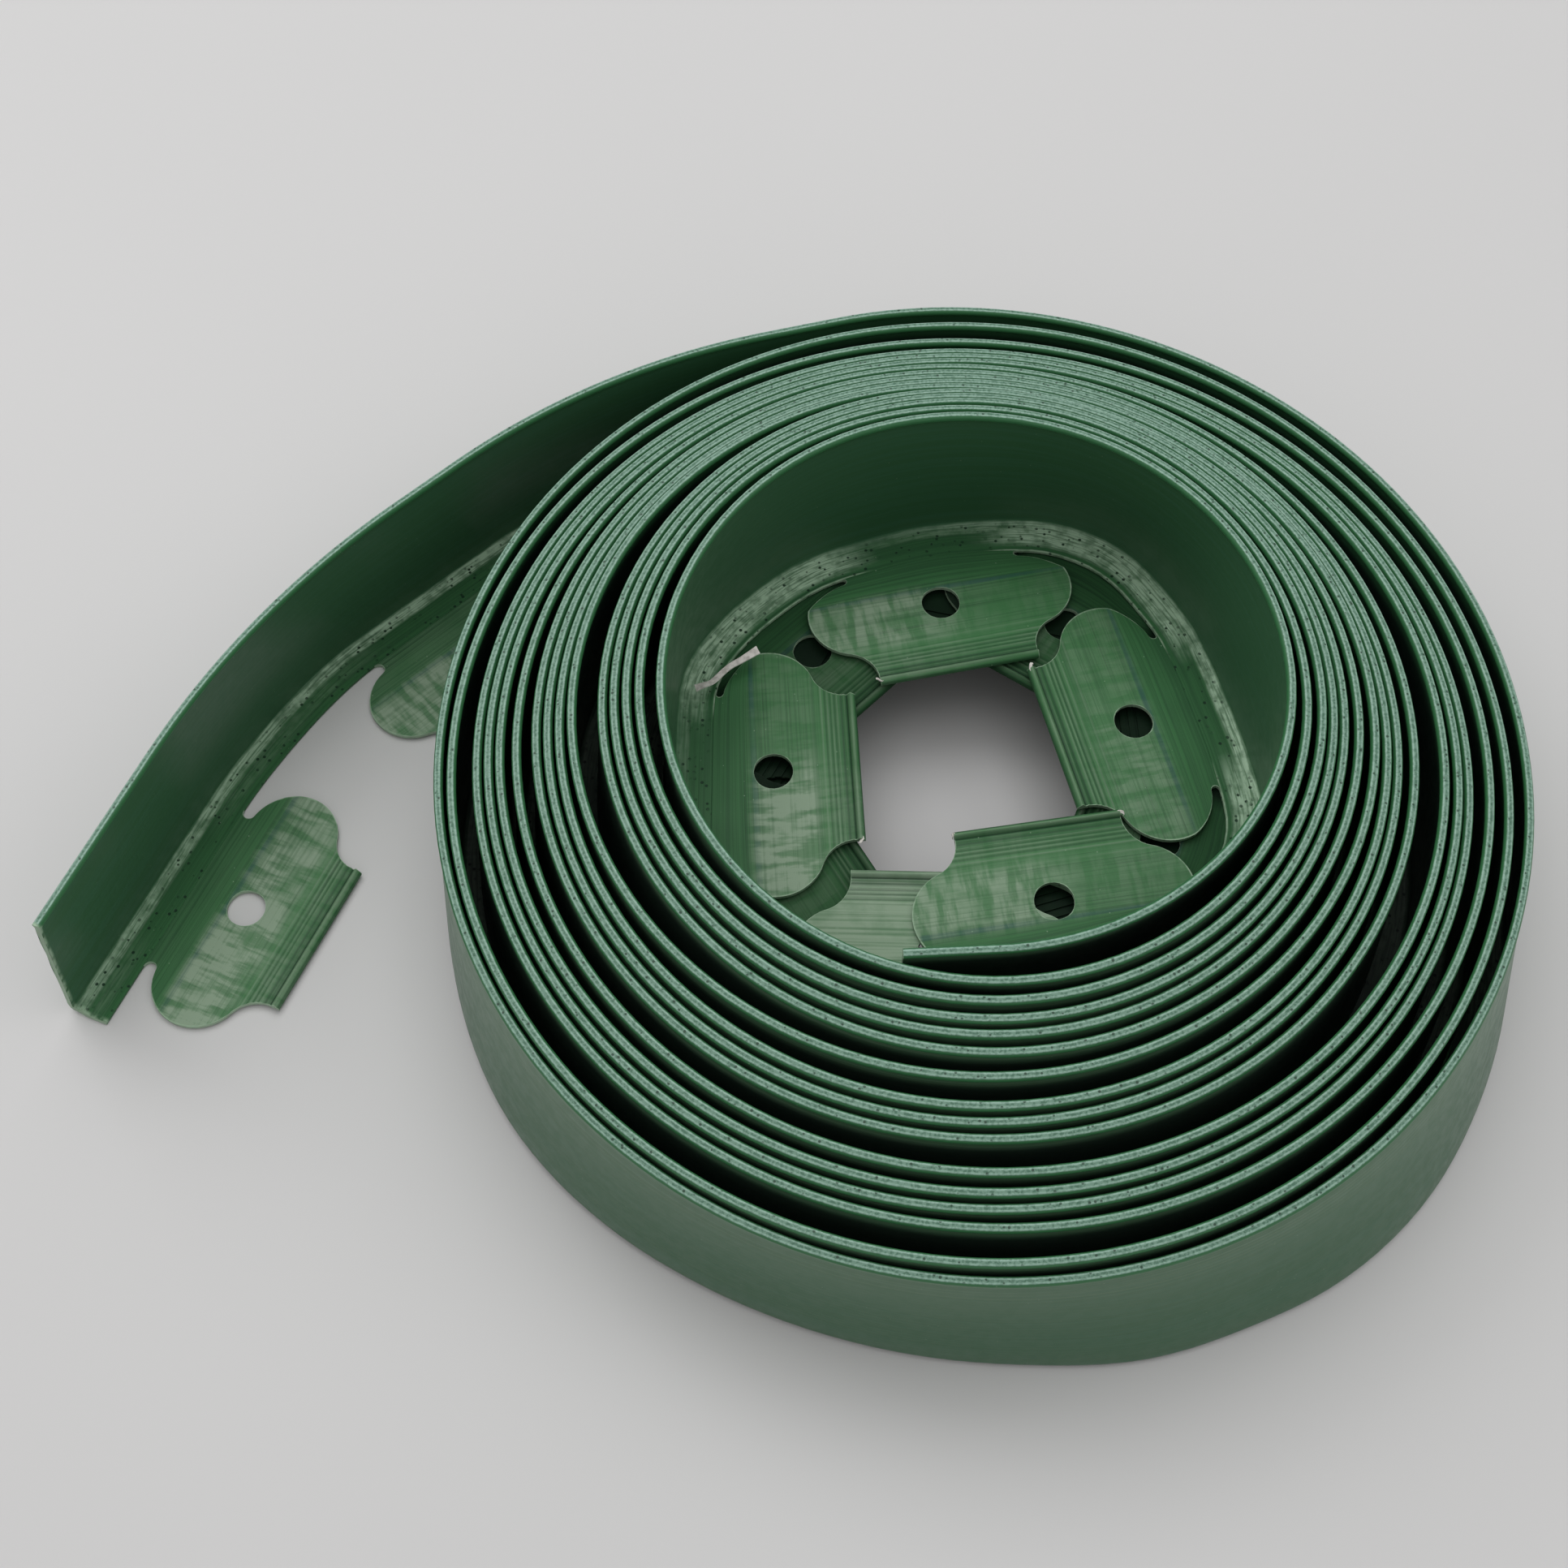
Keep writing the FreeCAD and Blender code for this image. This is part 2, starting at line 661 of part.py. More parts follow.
def outline_gap(points, step_out, step_down, enough):
    """Least distance from the section's points to the same section moved out and down."""
    smallest = enough
    for first, second in zip(points, points[1:]):
        run_x = second.x - first.x
        run_y = second.y - first.y
        run_squared = run_x * run_x + run_y * run_y
        for point in points:
            off_x = point.x - first.x - step_out
            off_y = point.y - first.y - step_down
            if abs(off_x) > NEARBY or abs(off_y) > NEARBY:
                continue
            share = min(1, max(0, (off_x * run_x + off_y * run_y) / run_squared))
            smallest = min(smallest, math.hypot(off_x - share * run_x, off_y - share * run_y))
    return smallest


def add_feature(doc, name, shape):
    """A document object that holds a shape."""
    feature = doc.addObject("Part::Feature", name)
    feature.Label = name
    feature.Shape = shape
    return feature


def check(doc, pieces):
    """Stop if any object failed, or if a piece's shape is missing or invalid."""
    for item in doc.Objects:
        if "Invalid" in item.State or "Error" in item.State:
            raise RuntimeError("%s failed: %s" % (item.Label, item.State))
    for piece in pieces:
        if piece.Shape.isNull() or not piece.Shape.isValid():
            raise RuntimeError("%s has no valid shape" % piece.Label)


def main():
    doc = FreeCAD.newDocument("lawn_edging_coil")
    sheet = make_sheet(doc)
    route, root = strip_route(sheet)
    spans = tail_spans(sheet, route, root)

    coil_route = route.between(0, root - sheet.flex_gap / 2)
    coil = strip_solid(sheet, coil_route).cut(flex_relief(sheet, coil_route, at_end=True))
    pieces = [add_feature(doc, "coiled_strip", coil)]
    for number, span in enumerate(spans, start=1):
        pieces.append(add_feature(doc, "tail_strip_%d" % number, tail_strip(sheet, route, span)))

    tail_tabs = []
    for number, (first, _) in enumerate(spans, start=1):
        tail_tab = make_tab(doc, "tail_tab_%d" % number)
        placement, _ = tab_seat(sheet, route, first + sheet.tab_pitch / 2)
        tail_tabs.append((tail_tab, placement))
    plain_tab = tail_tabs[0][0].Shape.Solids[0].copy()

    turns = {}
    lobe = FreeCAD.Vector(sheet.neck_half_width, sheet.hole_distance, 0)
    for distance in tab_distances(sheet, route, root):
        placement, bow = tab_seat(sheet, route, distance)
        standing_place = placement.multVec(lobe)
        turn = turn_number(sheet, route, distance)
        turns.setdefault(turn, []).append(seated_tab(sheet, plain_tab, placement, bow))
    for turn, tabs in sorted(turns.items()):
        pieces.append(add_feature(doc, "tabs_turn_%02d" % turn, Part.makeCompound(tabs)))
    for tail_tab, placement in tail_tabs:
        tail_tab.Placement = placement
        pieces.append(tail_tab)
    doc.recompute()

    box = FreeCAD.BoundBox()
    for piece in pieces:
        box.add(piece.Shape.optimalBoundingBox(False, False))
    shift = FreeCAD.Vector(-box.Center.x, -box.Center.y, -box.ZMin)
    for piece in pieces:
        piece.Placement = FreeCAD.Placement(shift, FreeCAD.Rotation()).multiply(piece.Placement)
    doc.recompute()
    check(doc, pieces)

    print("tabs in the coil: %d" % sum(len(tabs) for tabs in turns.values()))
    print("strip length along the rim: %.0f mm" % route.length)
    section = Part.Face(section_wire(sheet, lambda point: point))
    middle_length = coil_route.length + section.CenterOfMass.x * turned_angle(coil_route, coil_route.length)
    print("section times length of its middle: %.0f, volume: %.0f mm3" % (
        section.Area * middle_length, coil.Volume))
    print("smallest radius of the winding: %.1f mm" % min(arc.radius for arc in coil_route.arcs))
    print("least gap between turns: %.2f mm" % least_gap(sheet, route, root))
    print("box of the whole part: %.1f x %.1f x %.1f mm" % (box.XLength, box.YLength, box.ZLength))
    print("coil centre: %.2f, %.2f" % (shift.x, shift.y))
    print("standing place: %.2f, %.2f" % (standing_place.x + shift.x, standing_place.y + shift.y))
    for number, (first, _) in enumerate(spans, start=1):
        hinge = route.beside(first, sheet.wall_lean / 2) + shift
        print("flexing line %d: %.2f, %.2f" % (number, hinge.x, hinge.y))
    for number, (tail_tab, _) in enumerate(tail_tabs, start=1):
        hole = tail_tab.Placement.multVec(FreeCAD.Vector(0, sheet.hole_distance, 0))
        print("hole of tail tab %d: %.2f, %.2f, %.2f" % (number, hole.x, hole.y, hole.z))

    os.makedirs("parts", exist_ok=True)
    for piece in pieces:
        piece.Shape.exportStep("parts/%s.step" % piece.Label)
    print("wrote %d pieces" % len(pieces))


main()
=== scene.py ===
"""The looks of a coil of green plastic lawn edging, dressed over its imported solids.

The strip is an upright wall with a round bead on top and a narrow band along its foot. Anchor tabs are
punched out of the flange beside the band. Lengths here are in millimetres, and each mesh is put into
metres as it is made. In plan, places are complex numbers: x to the right, y to the back.
"""

import bpy
import numpy as np
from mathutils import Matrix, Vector


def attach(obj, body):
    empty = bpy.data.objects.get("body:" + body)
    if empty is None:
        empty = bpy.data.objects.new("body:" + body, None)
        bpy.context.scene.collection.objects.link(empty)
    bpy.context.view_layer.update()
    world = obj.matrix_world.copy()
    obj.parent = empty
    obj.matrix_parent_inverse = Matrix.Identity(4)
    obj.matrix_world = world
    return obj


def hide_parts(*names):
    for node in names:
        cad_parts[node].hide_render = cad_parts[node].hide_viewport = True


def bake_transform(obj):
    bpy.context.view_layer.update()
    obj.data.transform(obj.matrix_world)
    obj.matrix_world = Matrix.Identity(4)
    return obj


METRES = 0.001

# Winding, as in the part's source: rim radius of the first turn and the step to each further turn,
# at the front, right, back and left.
COIL_CENTRE = 40.18 + 1.97j
INNER_RADII = (63.4, 64.3, 69.0, 68.5)
TURN_STEPS = (
    (6.2, 3.5, 3.3, 2.7, 3.1, 4.5, 5.5, 2.8, 2.9, 6.3, 3.6, 2.8, 3.3, 6.5, 2.9),
    (3.4, 3.4, 2.6, 2.6, 3.4, 3.6, 2.6, 2.6, 3.9, 6.5, 3.1, 2.6, 5.0, 4.4, 5.3),
    (3.2, 3.2, 2.6, 2.6, 2.6, 2.6, 2.6, 2.6, 2.9, 3.0, 2.7, 2.7, 4.4, 6.3, 6.4),
    (4.6, 2.8, 2.7, 2.6, 6.6, 2.6, 2.6, 2.6, 4.2, 3.7, 2.6, 2.6, 5.6, 3.2),
)
TURNS = 16
TURN_RISE = 1.5
INNER_END_RUN = 19.1
INNER_END_HEADING = np.radians(3.0)
OUTER_END_SPREAD = 3.0
TAIL_START = 11.5
TAIL_BENDS = np.radians([21.0, 28.1, 23.8])
TAIL_BEND_RUN = 41.5
FREE_END = 38.0

# Section of the strip, measured from the inner face of the wall's foot
RIM_HEIGHT = 43.0
BEAD_RADIUS = 1.05
WALL = 1.2
WALL_LEAN = 3.5
BEND_RADIUS = 2.6
FLANGE = 1.0
BAND_WIDTH = 8.5

# Anchor tab
TAB_PITCH = 100.95
SHORTEST_FIRST_TAB = 38.0
HOLE_DISTANCE = 22.5
HOLE_RADIUS = 4.5
NECK = 20.5
SHOULDER = 8.0
LIP_HALF_WIDTH = 18.9
TAB_REACH = 42.3
ROOT_LEVEL = BAND_WIDTH - HOLE_DISTANCE

# Radius and level of the slot's round end, then of the lobe, on the coiled tabs and on the tail's
COIL_TAB = (1.1, -12.9, 11.25, -0.6)
TAIL_TAB = (1.55, -12.34, 10.9, 0.0)

# In the solids the tab's root lies this far from the wall's foot, and its lobe ends this far out.
SOLID_ROOT = 8.0
SOLID_LOBE_END = 31.4

# Tabs that the photograph shows, counted from the inner end: the hole's middle from the coil's centre,
# and the direction, in degrees, that the tab's root faces. Hand winding leaves them a little uneven.
MEASURED_TABS = {
    0: (16.9 - 32.5j, -81.0), 1: (37.8 + 13.6j, 14.4), 2: (-5.4 + 46.4j, 101.6),
    3: (-44.9 + 0.8j, 182.8), 4: (-9.2 - 44.7j, -91.2), 7: (-35.8 + 34.0j, 135.0),
}

# How much further along the strip the tail's second tab sits, by the photograph
SECOND_TAIL_SHIFT = 6.0

# Foot of the first turn: distance along the rim, and how far the wall's inner face stands outside the
# rim there. It is close in along the tabs and bulges between them.
FIRST_FOOT = np.array([
    (0, -2.0), (10, -3.5), (19, -5.0), (30, -5.6), (40, -5.4), (50, -4.9), (60, -3.6), (70, -1.4),
    (80, 1.2), (90, 3.0), (98, 3.4), (105, 2.8), (112.9, 1.0), (119, -0.5), (126.1, -1.6), (134, -2.4),
    (140, -2.5), (146, -2.0), (153, -1.1), (160.2, 0.3), (171.5, 2.2), (180, 4.1), (187, 5.0), (196, 5.0),
    (204, 4.2), (212, 2.4), (221, 0.7), (230.5, -0.2), (241, -1.0), (248.3, -1.1), (255, -0.6),
    (261.3, 0.0), (279.1, 1.0), (290, 2.0), (299, 2.6), (307, 2.2), (315, 0.6), (322, -0.6),
    (330, -1.2), (338, -0.9), (346, 0.3), (356, 2.5), (368, 4.2), (380, 4.4), (392, 3.0), (403, 0.6),
    (412, -1.2), (420, -2.0), (430, -2.3), (440, -1.6), (450, 0.2), (462, 2.8), (475, 4.4), (490, 3.8),
]).T

# Painted sheen along the corner between wall and flange: distance along the rim, and how pale it is
CORNER_SHEEN = np.array([
    (0, 0.3), (90, 0.3), (100, 0.9), (125, 0.95), (150, 0.75), (175, 0.6), (195, 0.7), (215, 0.5),
    (235, 0.2), (270, 0.12), (300, 0.25), (330, 0.15), (355, 0.1), (400, 0.2), (450, 0.2), (8850, 0.2),
    (8900, 0.75), (9232, 0.55),
]).T

# How strong the chalk and its painted sheen are on the tail's band between its tabs, compared with the coil's
TAIL_CHALK_AND_SHEEN = 0.12

# Foot of the last turn: degrees past its front, and how much further out it stands than elsewhere.
LAST_SPREAD = np.array([
    (-110, 0.0), (-80, 0.0), (-54, 2.9), (-40, 1.8), (-30, 0.6), (-20, 0.0), (-7, 0.3), (3, 1.4),
    (16, 4.6), (26, 5.8), (35, 7.6), (47, 8.2), (60, 6.5), (75, 4.0), (90, 2.0), (110, 0.0),
]).T

# The camera stands where the photograph was taken from. Its place is in millimetres.
CAMERA_PLACE = (-2.32, -250.03, 474.0)
CAMERA_PITCH = np.radians(29.0)
CAMERA_LENS = 52.17
CAMERA_SENSOR = 36.0


class Route:
    """Arcs laid end to end in plan, each with its start, heading, bend per millimetre and length."""

    def __init__(self, start, heading):
        self.end = start
        self.end_heading = heading
        self.arcs = []

    def add(self, length, turn):
        """An arc that carries on from the end and turns left by an angle over its length."""
        self.arcs.append((self.end, self.end_heading, turn / length, length))
        self.end = self.end + self.end_heading * length * sweep(turn)
        self.end_heading = self.end_heading * np.exp(1j * turn)

    def add_towards(self, place):
        """An arc that carries on from the end, smoothly, to a place."""
        chord = place - self.end
        half_turn = np.angle(chord / self.end_heading)
        self.add(abs(chord) / np.sinc(half_turn / np.pi), 2 * half_turn)

    def cut(self, length):
        """Shorten the last arc by a length."""
        start, heading, bend, whole = self.arcs.pop()
        self.end = start
        self.end_heading = heading
        self.add(whole - length, bend * (whole - length))

    def settle(self):
        """Turn the list of arcs into arrays, with the distance and the angle turned at each start."""
        self.start, self.heading, self.bend, length = np.array(self.arcs).T
        self.bend = self.bend.real
        self.length = length.real.sum()
        self.distance = np.concatenate([[0], np.cumsum(length.real)[:-1]])
        self.turned_at = np.concatenate([[0], np.cumsum(self.bend * length.real)[:-1]])

    def find(self, distance):
        """The arc that a distance along the route falls on, and how far into the arc it is."""
        index = np.searchsorted(self.distance, distance, side="right") - 1
        index = np.clip(index, 0, len(self.distance) - 1)
        return index, distance - self.distance[index]

    def place(self, distance):
        """The arc's start plus its chord so far: heading times length times sweep."""
        index, rest = self.find(distance)
        return self.start[index] + self.heading[index] * rest * sweep(self.bend[index] * rest)

    def turned(self, distance):
        """The angle turned since the start, in radians: bend times length, summed over the arcs."""
        index, rest = self.find(distance)
        return self.turned_at[index] + self.bend[index] * rest

    def direction(self, distance):
        """The unit heading: the arc's first heading, turned by bend times length."""
        index, rest = self.find(distance)
        return self.heading[index] * np.exp(1j * self.bend[index] * rest)

    def outward(self, distance):
        """The unit direction to the right of the heading, away from the coil's middle."""
        return -1j * self.direction(distance)

    def beside(self, distance, offset):
        """The place at an offset outward from the line."""
        return self.place(distance) + self.outward(distance) * offset

    def radius(self, distance):
        """One over the arc's bend. A straight stretch counts as a very wide arc."""
        index, _ = self.find(distance)
        return 1 / np.maximum(self.bend[index], 1e-5)


def sweep(angle):
    """Chord of an arc over its length, as a complex factor of the starting heading."""
    return np.sinc(angle / (2 * np.pi)) * np.exp(0.5j * angle)


def lay_route():
    """The rim's line: a straight inner end, biarcs from quarter turn to quarter turn, then the tail.

    A biarc is two arcs that meet smoothly between two places with given headings. Returned are the
    route, the distance where the tail leaves, and the underside's height as distances and heights.
    """
    quarters = 4 * (TURNS - 1) + 3
    radii = np.array([INNER_RADII[q % 4] + sum(TURN_STEPS[q % 4][:q // 4]) for q in range(quarters)])
    azimuth = np.exp(0.5j * np.pi * (np.arange(quarters) - 1))
    growth = (radii[-1] - radii[2]) / (TURNS - 1)
    spread = np.zeros(quarters)
    spread[1:-1] = growth / (2 * np.pi) + (radii[2:] - radii[:-2] - growth / 2) / 2
    spread[0] = -radii[0] * np.tan(INNER_END_HEADING)
    spread[-1] = OUTER_END_SPREAD
    places = COIL_CENTRE + azimuth * radii
    headings = azimuth * (spread + 1j * radii)
    headings /= abs(headings)

    route = Route(places[0] - headings[0] * INNER_END_RUN, headings[0])
    route.add(INNER_END_RUN, 0)
    stops = [INNER_END_RUN]
    for start, heading, end, end_heading in zip(places, headings, places[1:], headings[1:]):
        chord = end - start
        both = (chord * np.conj(heading + end_heading)).real
        turn = 2 - 2 * (heading * np.conj(end_heading)).real
        reach = (np.sqrt(both ** 2 + turn * abs(chord) ** 2) - both) / turn
        route.add_towards((start + end + (heading - end_heading) * reach) / 2)
        route.add_towards(end)
        stops.append(sum(arc[3] for arc in route.arcs))
    route.cut(TAIL_START)
    root = stops[-1] - TAIL_START
    straight = TAB_PITCH - 2 * TAIL_BEND_RUN
    for number, bend in enumerate(TAIL_BENDS):
        route.add(TAIL_BEND_RUN * min(number + 1, 2), bend)
        route.add(straight if number < 2 else TAB_PITCH / 2 + FREE_END - TAIL_BEND_RUN, 0)
    route.settle()

    floor_quarter = 4 * (TURNS - 1)
    heights = TURN_RISE * (1 + (floor_quarter - 1 - np.arange(quarters)) / 4)
    heights[floor_quarter:] = 0
    first_rise = TURN_RISE / (2 * np.pi * radii[0]) * INNER_END_RUN
    return route, root, np.array([0] + stops), np.concatenate([[heights[0] + first_rise], heights])


ROUTE, ROOT, HEIGHT_STOPS, HEIGHTS = lay_route()
LAST_FRONT = HEIGHT_STOPS[-3]


def underside(distance):
    """Height of the strip's underside: straight lines between the heights at the quarter turns."""
    return np.interp(distance, HEIGHT_STOPS, HEIGHTS)


def smooth(share):
    """A smooth step: 3 s^2 - 2 s^3."""
    return share * share * (3 - 2 * share)


def join(share, span, start, start_slope, end, end_slope):
    """The cubic over a span that leaves one level and reaches another at given slopes."""
    leaving = start * (1 + 2 * share) + start_slope * span * share
    reaching = end * (3 - 2 * share) + end_slope * span * (share - 1)
    return leaving * (1 - share) ** 2 + reaching * share ** 2


def eased(value, table):
    """A table read with a smooth curve through its rows: cubics whose slopes join the rows' neighbours."""
    places, levels = table
    slopes = np.gradient(levels, places)
    row = np.clip(np.searchsorted(places, value, side="right") - 1, 0, len(places) - 2)
    span = places[row + 1] - places[row]
    share = np.clip((value - places[row]) / span, 0, 1)
    return join(share, span, levels[row], slopes[row], levels[row + 1], slopes[row + 1])


def last_spread(distance):
    """How much further out the last turn's foot stands, at a distance along the rim."""
    past_front = np.degrees(ROUTE.turned(distance) - ROUTE.turned(LAST_FRONT))
    return eased(past_front, LAST_SPREAD)


def tab_middles():
    """Distances of the tabs' middles along the rim. They are a pitch apart along the foot."""
    foot_length = ROOT + WALL_LEAN * ROUTE.turned(ROOT)
    count = int((foot_length - SHORTEST_FIRST_TAB) / TAB_PITCH + 0.5)
    target = foot_length - TAB_PITCH * (count - np.arange(count) - 0.5)
    distance = target.copy()
    for _ in range(20):
        distance += target - distance - WALL_LEAN * ROUTE.turned(distance)
    return np.concatenate([distance, ROOT + TAB_PITCH * (np.arange(3) + 0.5)])


class Seats:
    """Where each tab sits: the middle of its root line at the wall's foot, its direction and slope."""

    def __init__(self, middles):
        foot_face = WALL_LEAN - WALL / 2
        edge = foot_face - SOLID_ROOT
        radius = ROUTE.radius(middles)
        reach = radius * np.arcsin(NECK / (radius + edge))
        first, last = (ROUTE.beside(middles + side * reach, edge) for side in (-1, 1))
        self.middle = middles
        self.along = (last - first) / abs(last - first)
        self.inward = 1j * self.along
        self.origin = (first + last) / 2 - self.inward * (SOLID_ROOT + last_spread(middles))
        self.reach = radius * np.arcsin(NECK / (radius + foot_face))
        for tab, (hole, facing) in MEASURED_TABS.items():
            outward = np.exp(1j * np.radians(facing))
            self.along[tab] = 1j * outward
            self.inward[tab] = -outward
            self.origin[tab] = COIL_CENTRE + hole + outward * HOLE_DISTANCE
            for _ in range(3):
                lag = (self.origin[tab] - ROUTE.place(middles[tab])) * np.conj(ROUTE.direction(middles[tab]))
                middles[tab] += lag.real
        middles[-2] += SECOND_TAIL_SHIFT
        self.origin[-2] += self.along[-2] * SECOND_TAIL_SHIFT
        low = underside(middles + SOLID_LOBE_END)
        high = underside(middles - SOLID_LOBE_END)
        self.height = (low + high) / 2
        self.slope = (low - high) / (2 * SOLID_LOBE_END)
        first_front = ROUTE.turned(INNER_END_RUN)
        turns = 1 + ((ROUTE.turned(middles) - first_front) // (2 * np.pi)).astype(int)
        self.turn = np.maximum(turns, 1)
        self.turn[-3:] = TURNS + 1


SEATS = Seats(tab_middles())

# Turns whose tabs are laid finely, and those whose foot runs straight along each tab and bulges between
# tabs. The tail counts as one more turn. On other turns the foot stays a plain distance outside the rim.
SHOWN_TURNS = (1, 2, TURNS)
POLYGON_TURNS = (1, 2, TURNS + 1)
FIRST_FOOT_ENDS = 475.0
FIRST_FOOT_FADE = 25.0
SECOND_FOOT_ENDS = 435.0
TURN_GAP = 0.4
NOTCH_FLATNESS = 0.9
NOTCH_SLOPE = 6.0
FAR_INSIDE = -1e3
SLOPE_STEP = 0.5


def line_offset(distance, tab):
    """Offset outward from the rim, at a distance, of the straight foot line of a tab."""
    back = np.conj(SEATS.along[tab])
    across = back * (SEATS.origin[tab] - ROUTE.place(distance))
    return across.imag / (back * ROUTE.outward(distance)).imag


def foot_offset(distance):
    """Offset of the inner face of the wall's foot from the rim, outward.

    Along a tab it is the tab's straight root line. Between two tabs it is a cubic that leaves one
    line and joins the next smoothly, flattened a little at its top.
    """
    last = len(SEATS.middle) - 1
    before = np.clip(np.searchsorted(SEATS.middle, distance, side="right") - 1, 0, last)
    after = np.minimum(before + 1, last)
    start = SEATS.middle[before] + SEATS.reach[before]
    end = SEATS.middle[after] - SEATS.reach[after]
    past_last = after == before
    span = np.where(past_last, 1e6, end - start)
    share = np.clip((distance - start) / span, 0, 1)
    near_end = np.minimum(end, ROUTE.length)
    start_level = line_offset(start, before)
    start_slope = (line_offset(start + SLOPE_STEP, before) - start_level) / SLOPE_STEP
    end_level = line_offset(near_end, after)
    end_slope = (end_level - line_offset(near_end - SLOPE_STEP, after)) / SLOPE_STEP
    bulge = join(share, span, start_level, start_slope, end_level, end_slope)
    bulge -= NOTCH_FLATNESS * (4 * share * (1 - share)) ** 2 * np.minimum(1, start_slope * NOTCH_SLOPE)
    on_before = (distance <= start) | past_last
    on_after = (distance >= end) & ~on_before
    offset = np.where(on_before, line_offset(distance, before), bulge)
    offset = np.where(on_after, line_offset(distance, after), offset)
    follows = np.isin(SEATS.turn, POLYGON_TURNS).astype(float)
    weight = follows[before] + (follows[after] - follows[before]) * smooth(share)
    plain = WALL_LEAN - WALL / 2 + last_spread(distance)
    offset = plain + weight * (offset - plain)
    measured = np.clip((FIRST_FOOT_ENDS - distance) / FIRST_FOOT_FADE, 0, 1)
    offset = offset + measured * (eased(distance, FIRST_FOOT) - offset)
    return np.maximum(offset, behind_first(distance))


def behind_first(distance):
    """The least offset that keeps the second turn's foot outside the first turn's."""
    first = np.linspace(0, FIRST_FOOT_ENDS, 200)
    faces = ROUTE.beside(first, eased(first, FIRST_FOOT) + WALL + TURN_GAP)
    turn_before = ROUTE.turned(distance) - 2 * np.pi
    face = np.interp(turn_before, ROUTE.turned(first), faces)
    least = ((face - ROUTE.place(distance)) * np.conj(ROUTE.outward(distance))).real
    second = (turn_before > 0) & (turn_before < ROUTE.turned(SECOND_FOOT_ENDS))
    return np.where(second, least, FAR_INSIDE)


def foot_line(distance):
    """Middle of the wall's foot at distances along the rim, and its outward normal there."""
    step = 0.4
    near = np.stack([np.maximum(distance - step, 0), np.minimum(distance + step, ROUTE.length)])
    ends = ROUTE.beside(near, foot_offset(near) + WALL / 2)
    normal = -1j * (ends[1] - ends[0])
    return ROUTE.beside(distance, foot_offset(distance) + WALL / 2), normal / abs(normal)


# The bead's crown: how far outward it tilts and how far from its middle its shoulders are, in degrees,
# then the shoulders' rise and the hollow's depth, as shares of the radius, with the width of each bell
CROWN_TILT = 82.0
CROWN_HALF_WIDTH = 28.0
CROWN_SHOULDER = (0.05, 13.0)
CROWN_HOLLOW = (0.09, 16.0)


def strip_profile():
    """The strip's section as corner points (x, z), x outward from the middle of the wall's foot.

    It runs from the band's lower edge out under the band, round the outer bend, up the outer face,
    over the bead, down the inner face, round the inner bend and back along the band's top. The bead's
    crown is slightly hollow between two low shoulders, and is tilted outward.
    """
    half = WALL / 2
    quarter = np.linspace(0, np.pi / 2, 6)
    inside = BEND_RADIUS - WALL
    under_bead = np.sqrt(BEAD_RADIUS ** 2 - half ** 2)
    meets = np.arcsin(under_bead / BEAD_RADIUS)
    over = np.linspace(-meets, np.pi + meets, 25)
    tilt = np.degrees(over) - CROWN_TILT
    (rise, rise_width), (depth, depth_width) = CROWN_SHOULDER, CROWN_HOLLOW
    shoulders = rise * np.exp(-((abs(tilt) - CROWN_HALF_WIDTH) / rise_width) ** 2)
    bead = BEAD_RADIUS * (1 + shoulders - depth * np.exp(-(tilt / depth_width) ** 2))
    wall_heights = np.linspace(BEND_RADIUS, RIM_HEIGHT - under_bead, 7)[1:-1]
    edge = -half - BAND_WIDTH
    pieces = [
        ([edge + 0.15, -4.5], [0, 0]),
        (half - BEND_RADIUS + BEND_RADIUS * np.sin(quarter), BEND_RADIUS - BEND_RADIUS * np.cos(quarter)),
        (np.full(5, half), wall_heights),
        (bead * np.cos(over), RIM_HEIGHT + bead * np.sin(over)),
        (np.full(5, -half), wall_heights[::-1]),
        (-half - inside + inside * np.cos(quarter), FLANGE + inside - inside * np.sin(quarter)),
        ([-5.0, edge + 0.12, edge], [FLANGE, FLANGE, FLANGE - 0.15]),
        ([edge], [0.15]),
    ]
    return np.concatenate([x for x, _ in pieces]), np.concatenate([z for _, z in pieces])


def strip_stations(first, last, spacing):
    """Distances along the strip where its section is placed, with one at each end of every tab."""
    ends = np.concatenate([SEATS.middle - SEATS.reach, SEATS.middle + SEATS.reach])
    ends = ends[(ends > first + 0.5) & (ends < last - 0.5)]
    count = int((last - first) / spacing) + 1
    return np.unique(np.concatenate([np.linspace(first, last, count), ends]))


def strip_surface(stations):
    """Points (stations, profile, 3) of the strip.

    Each section stands upright. Its wall leans in a straight line from the foot's curve to the rim's
    curve, and its normal turns from the one's to the other's. Below the flange's top it doesn't lean.
    """
    x, z = strip_profile()
    rim = ROUTE.place(stations)
    rim_normal = ROUTE.outward(stations)
    foot, foot_normal = foot_line(stations)
    lean = np.clip((z - FLANGE) / (RIM_HEIGHT - FLANGE), 0, None)
    centre = foot[:, None] + (rim - foot)[:, None] * lean
    normal = foot_normal[:, None] + (rim_normal - foot_normal)[:, None] * np.clip(lean, 0, 1)
    plan = centre + normal / abs(normal) * x
    height = underside(stations)[:, None] + z
    return np.stack([plan.real, plan.imag, height], -1)


def profile_levels():
    """The strip's own coordinate round its section, in the tabs' terms.

    It is the distance from the line of the hole middles, measured on the surface: the band's edge is
    at the tab's root, and the values fall across the band, up the inner wall and over the bead.
    """
    x, z = strip_profile()
    round_profile = np.concatenate([[0], np.cumsum(np.hypot(np.diff(x), np.diff(z)))])
    return ROOT_LEVEL + round_profile - round_profile[-2]


# Level, on the section, where the wall's inner bend ends and the band begins
BAND_BEGINS = -22.4

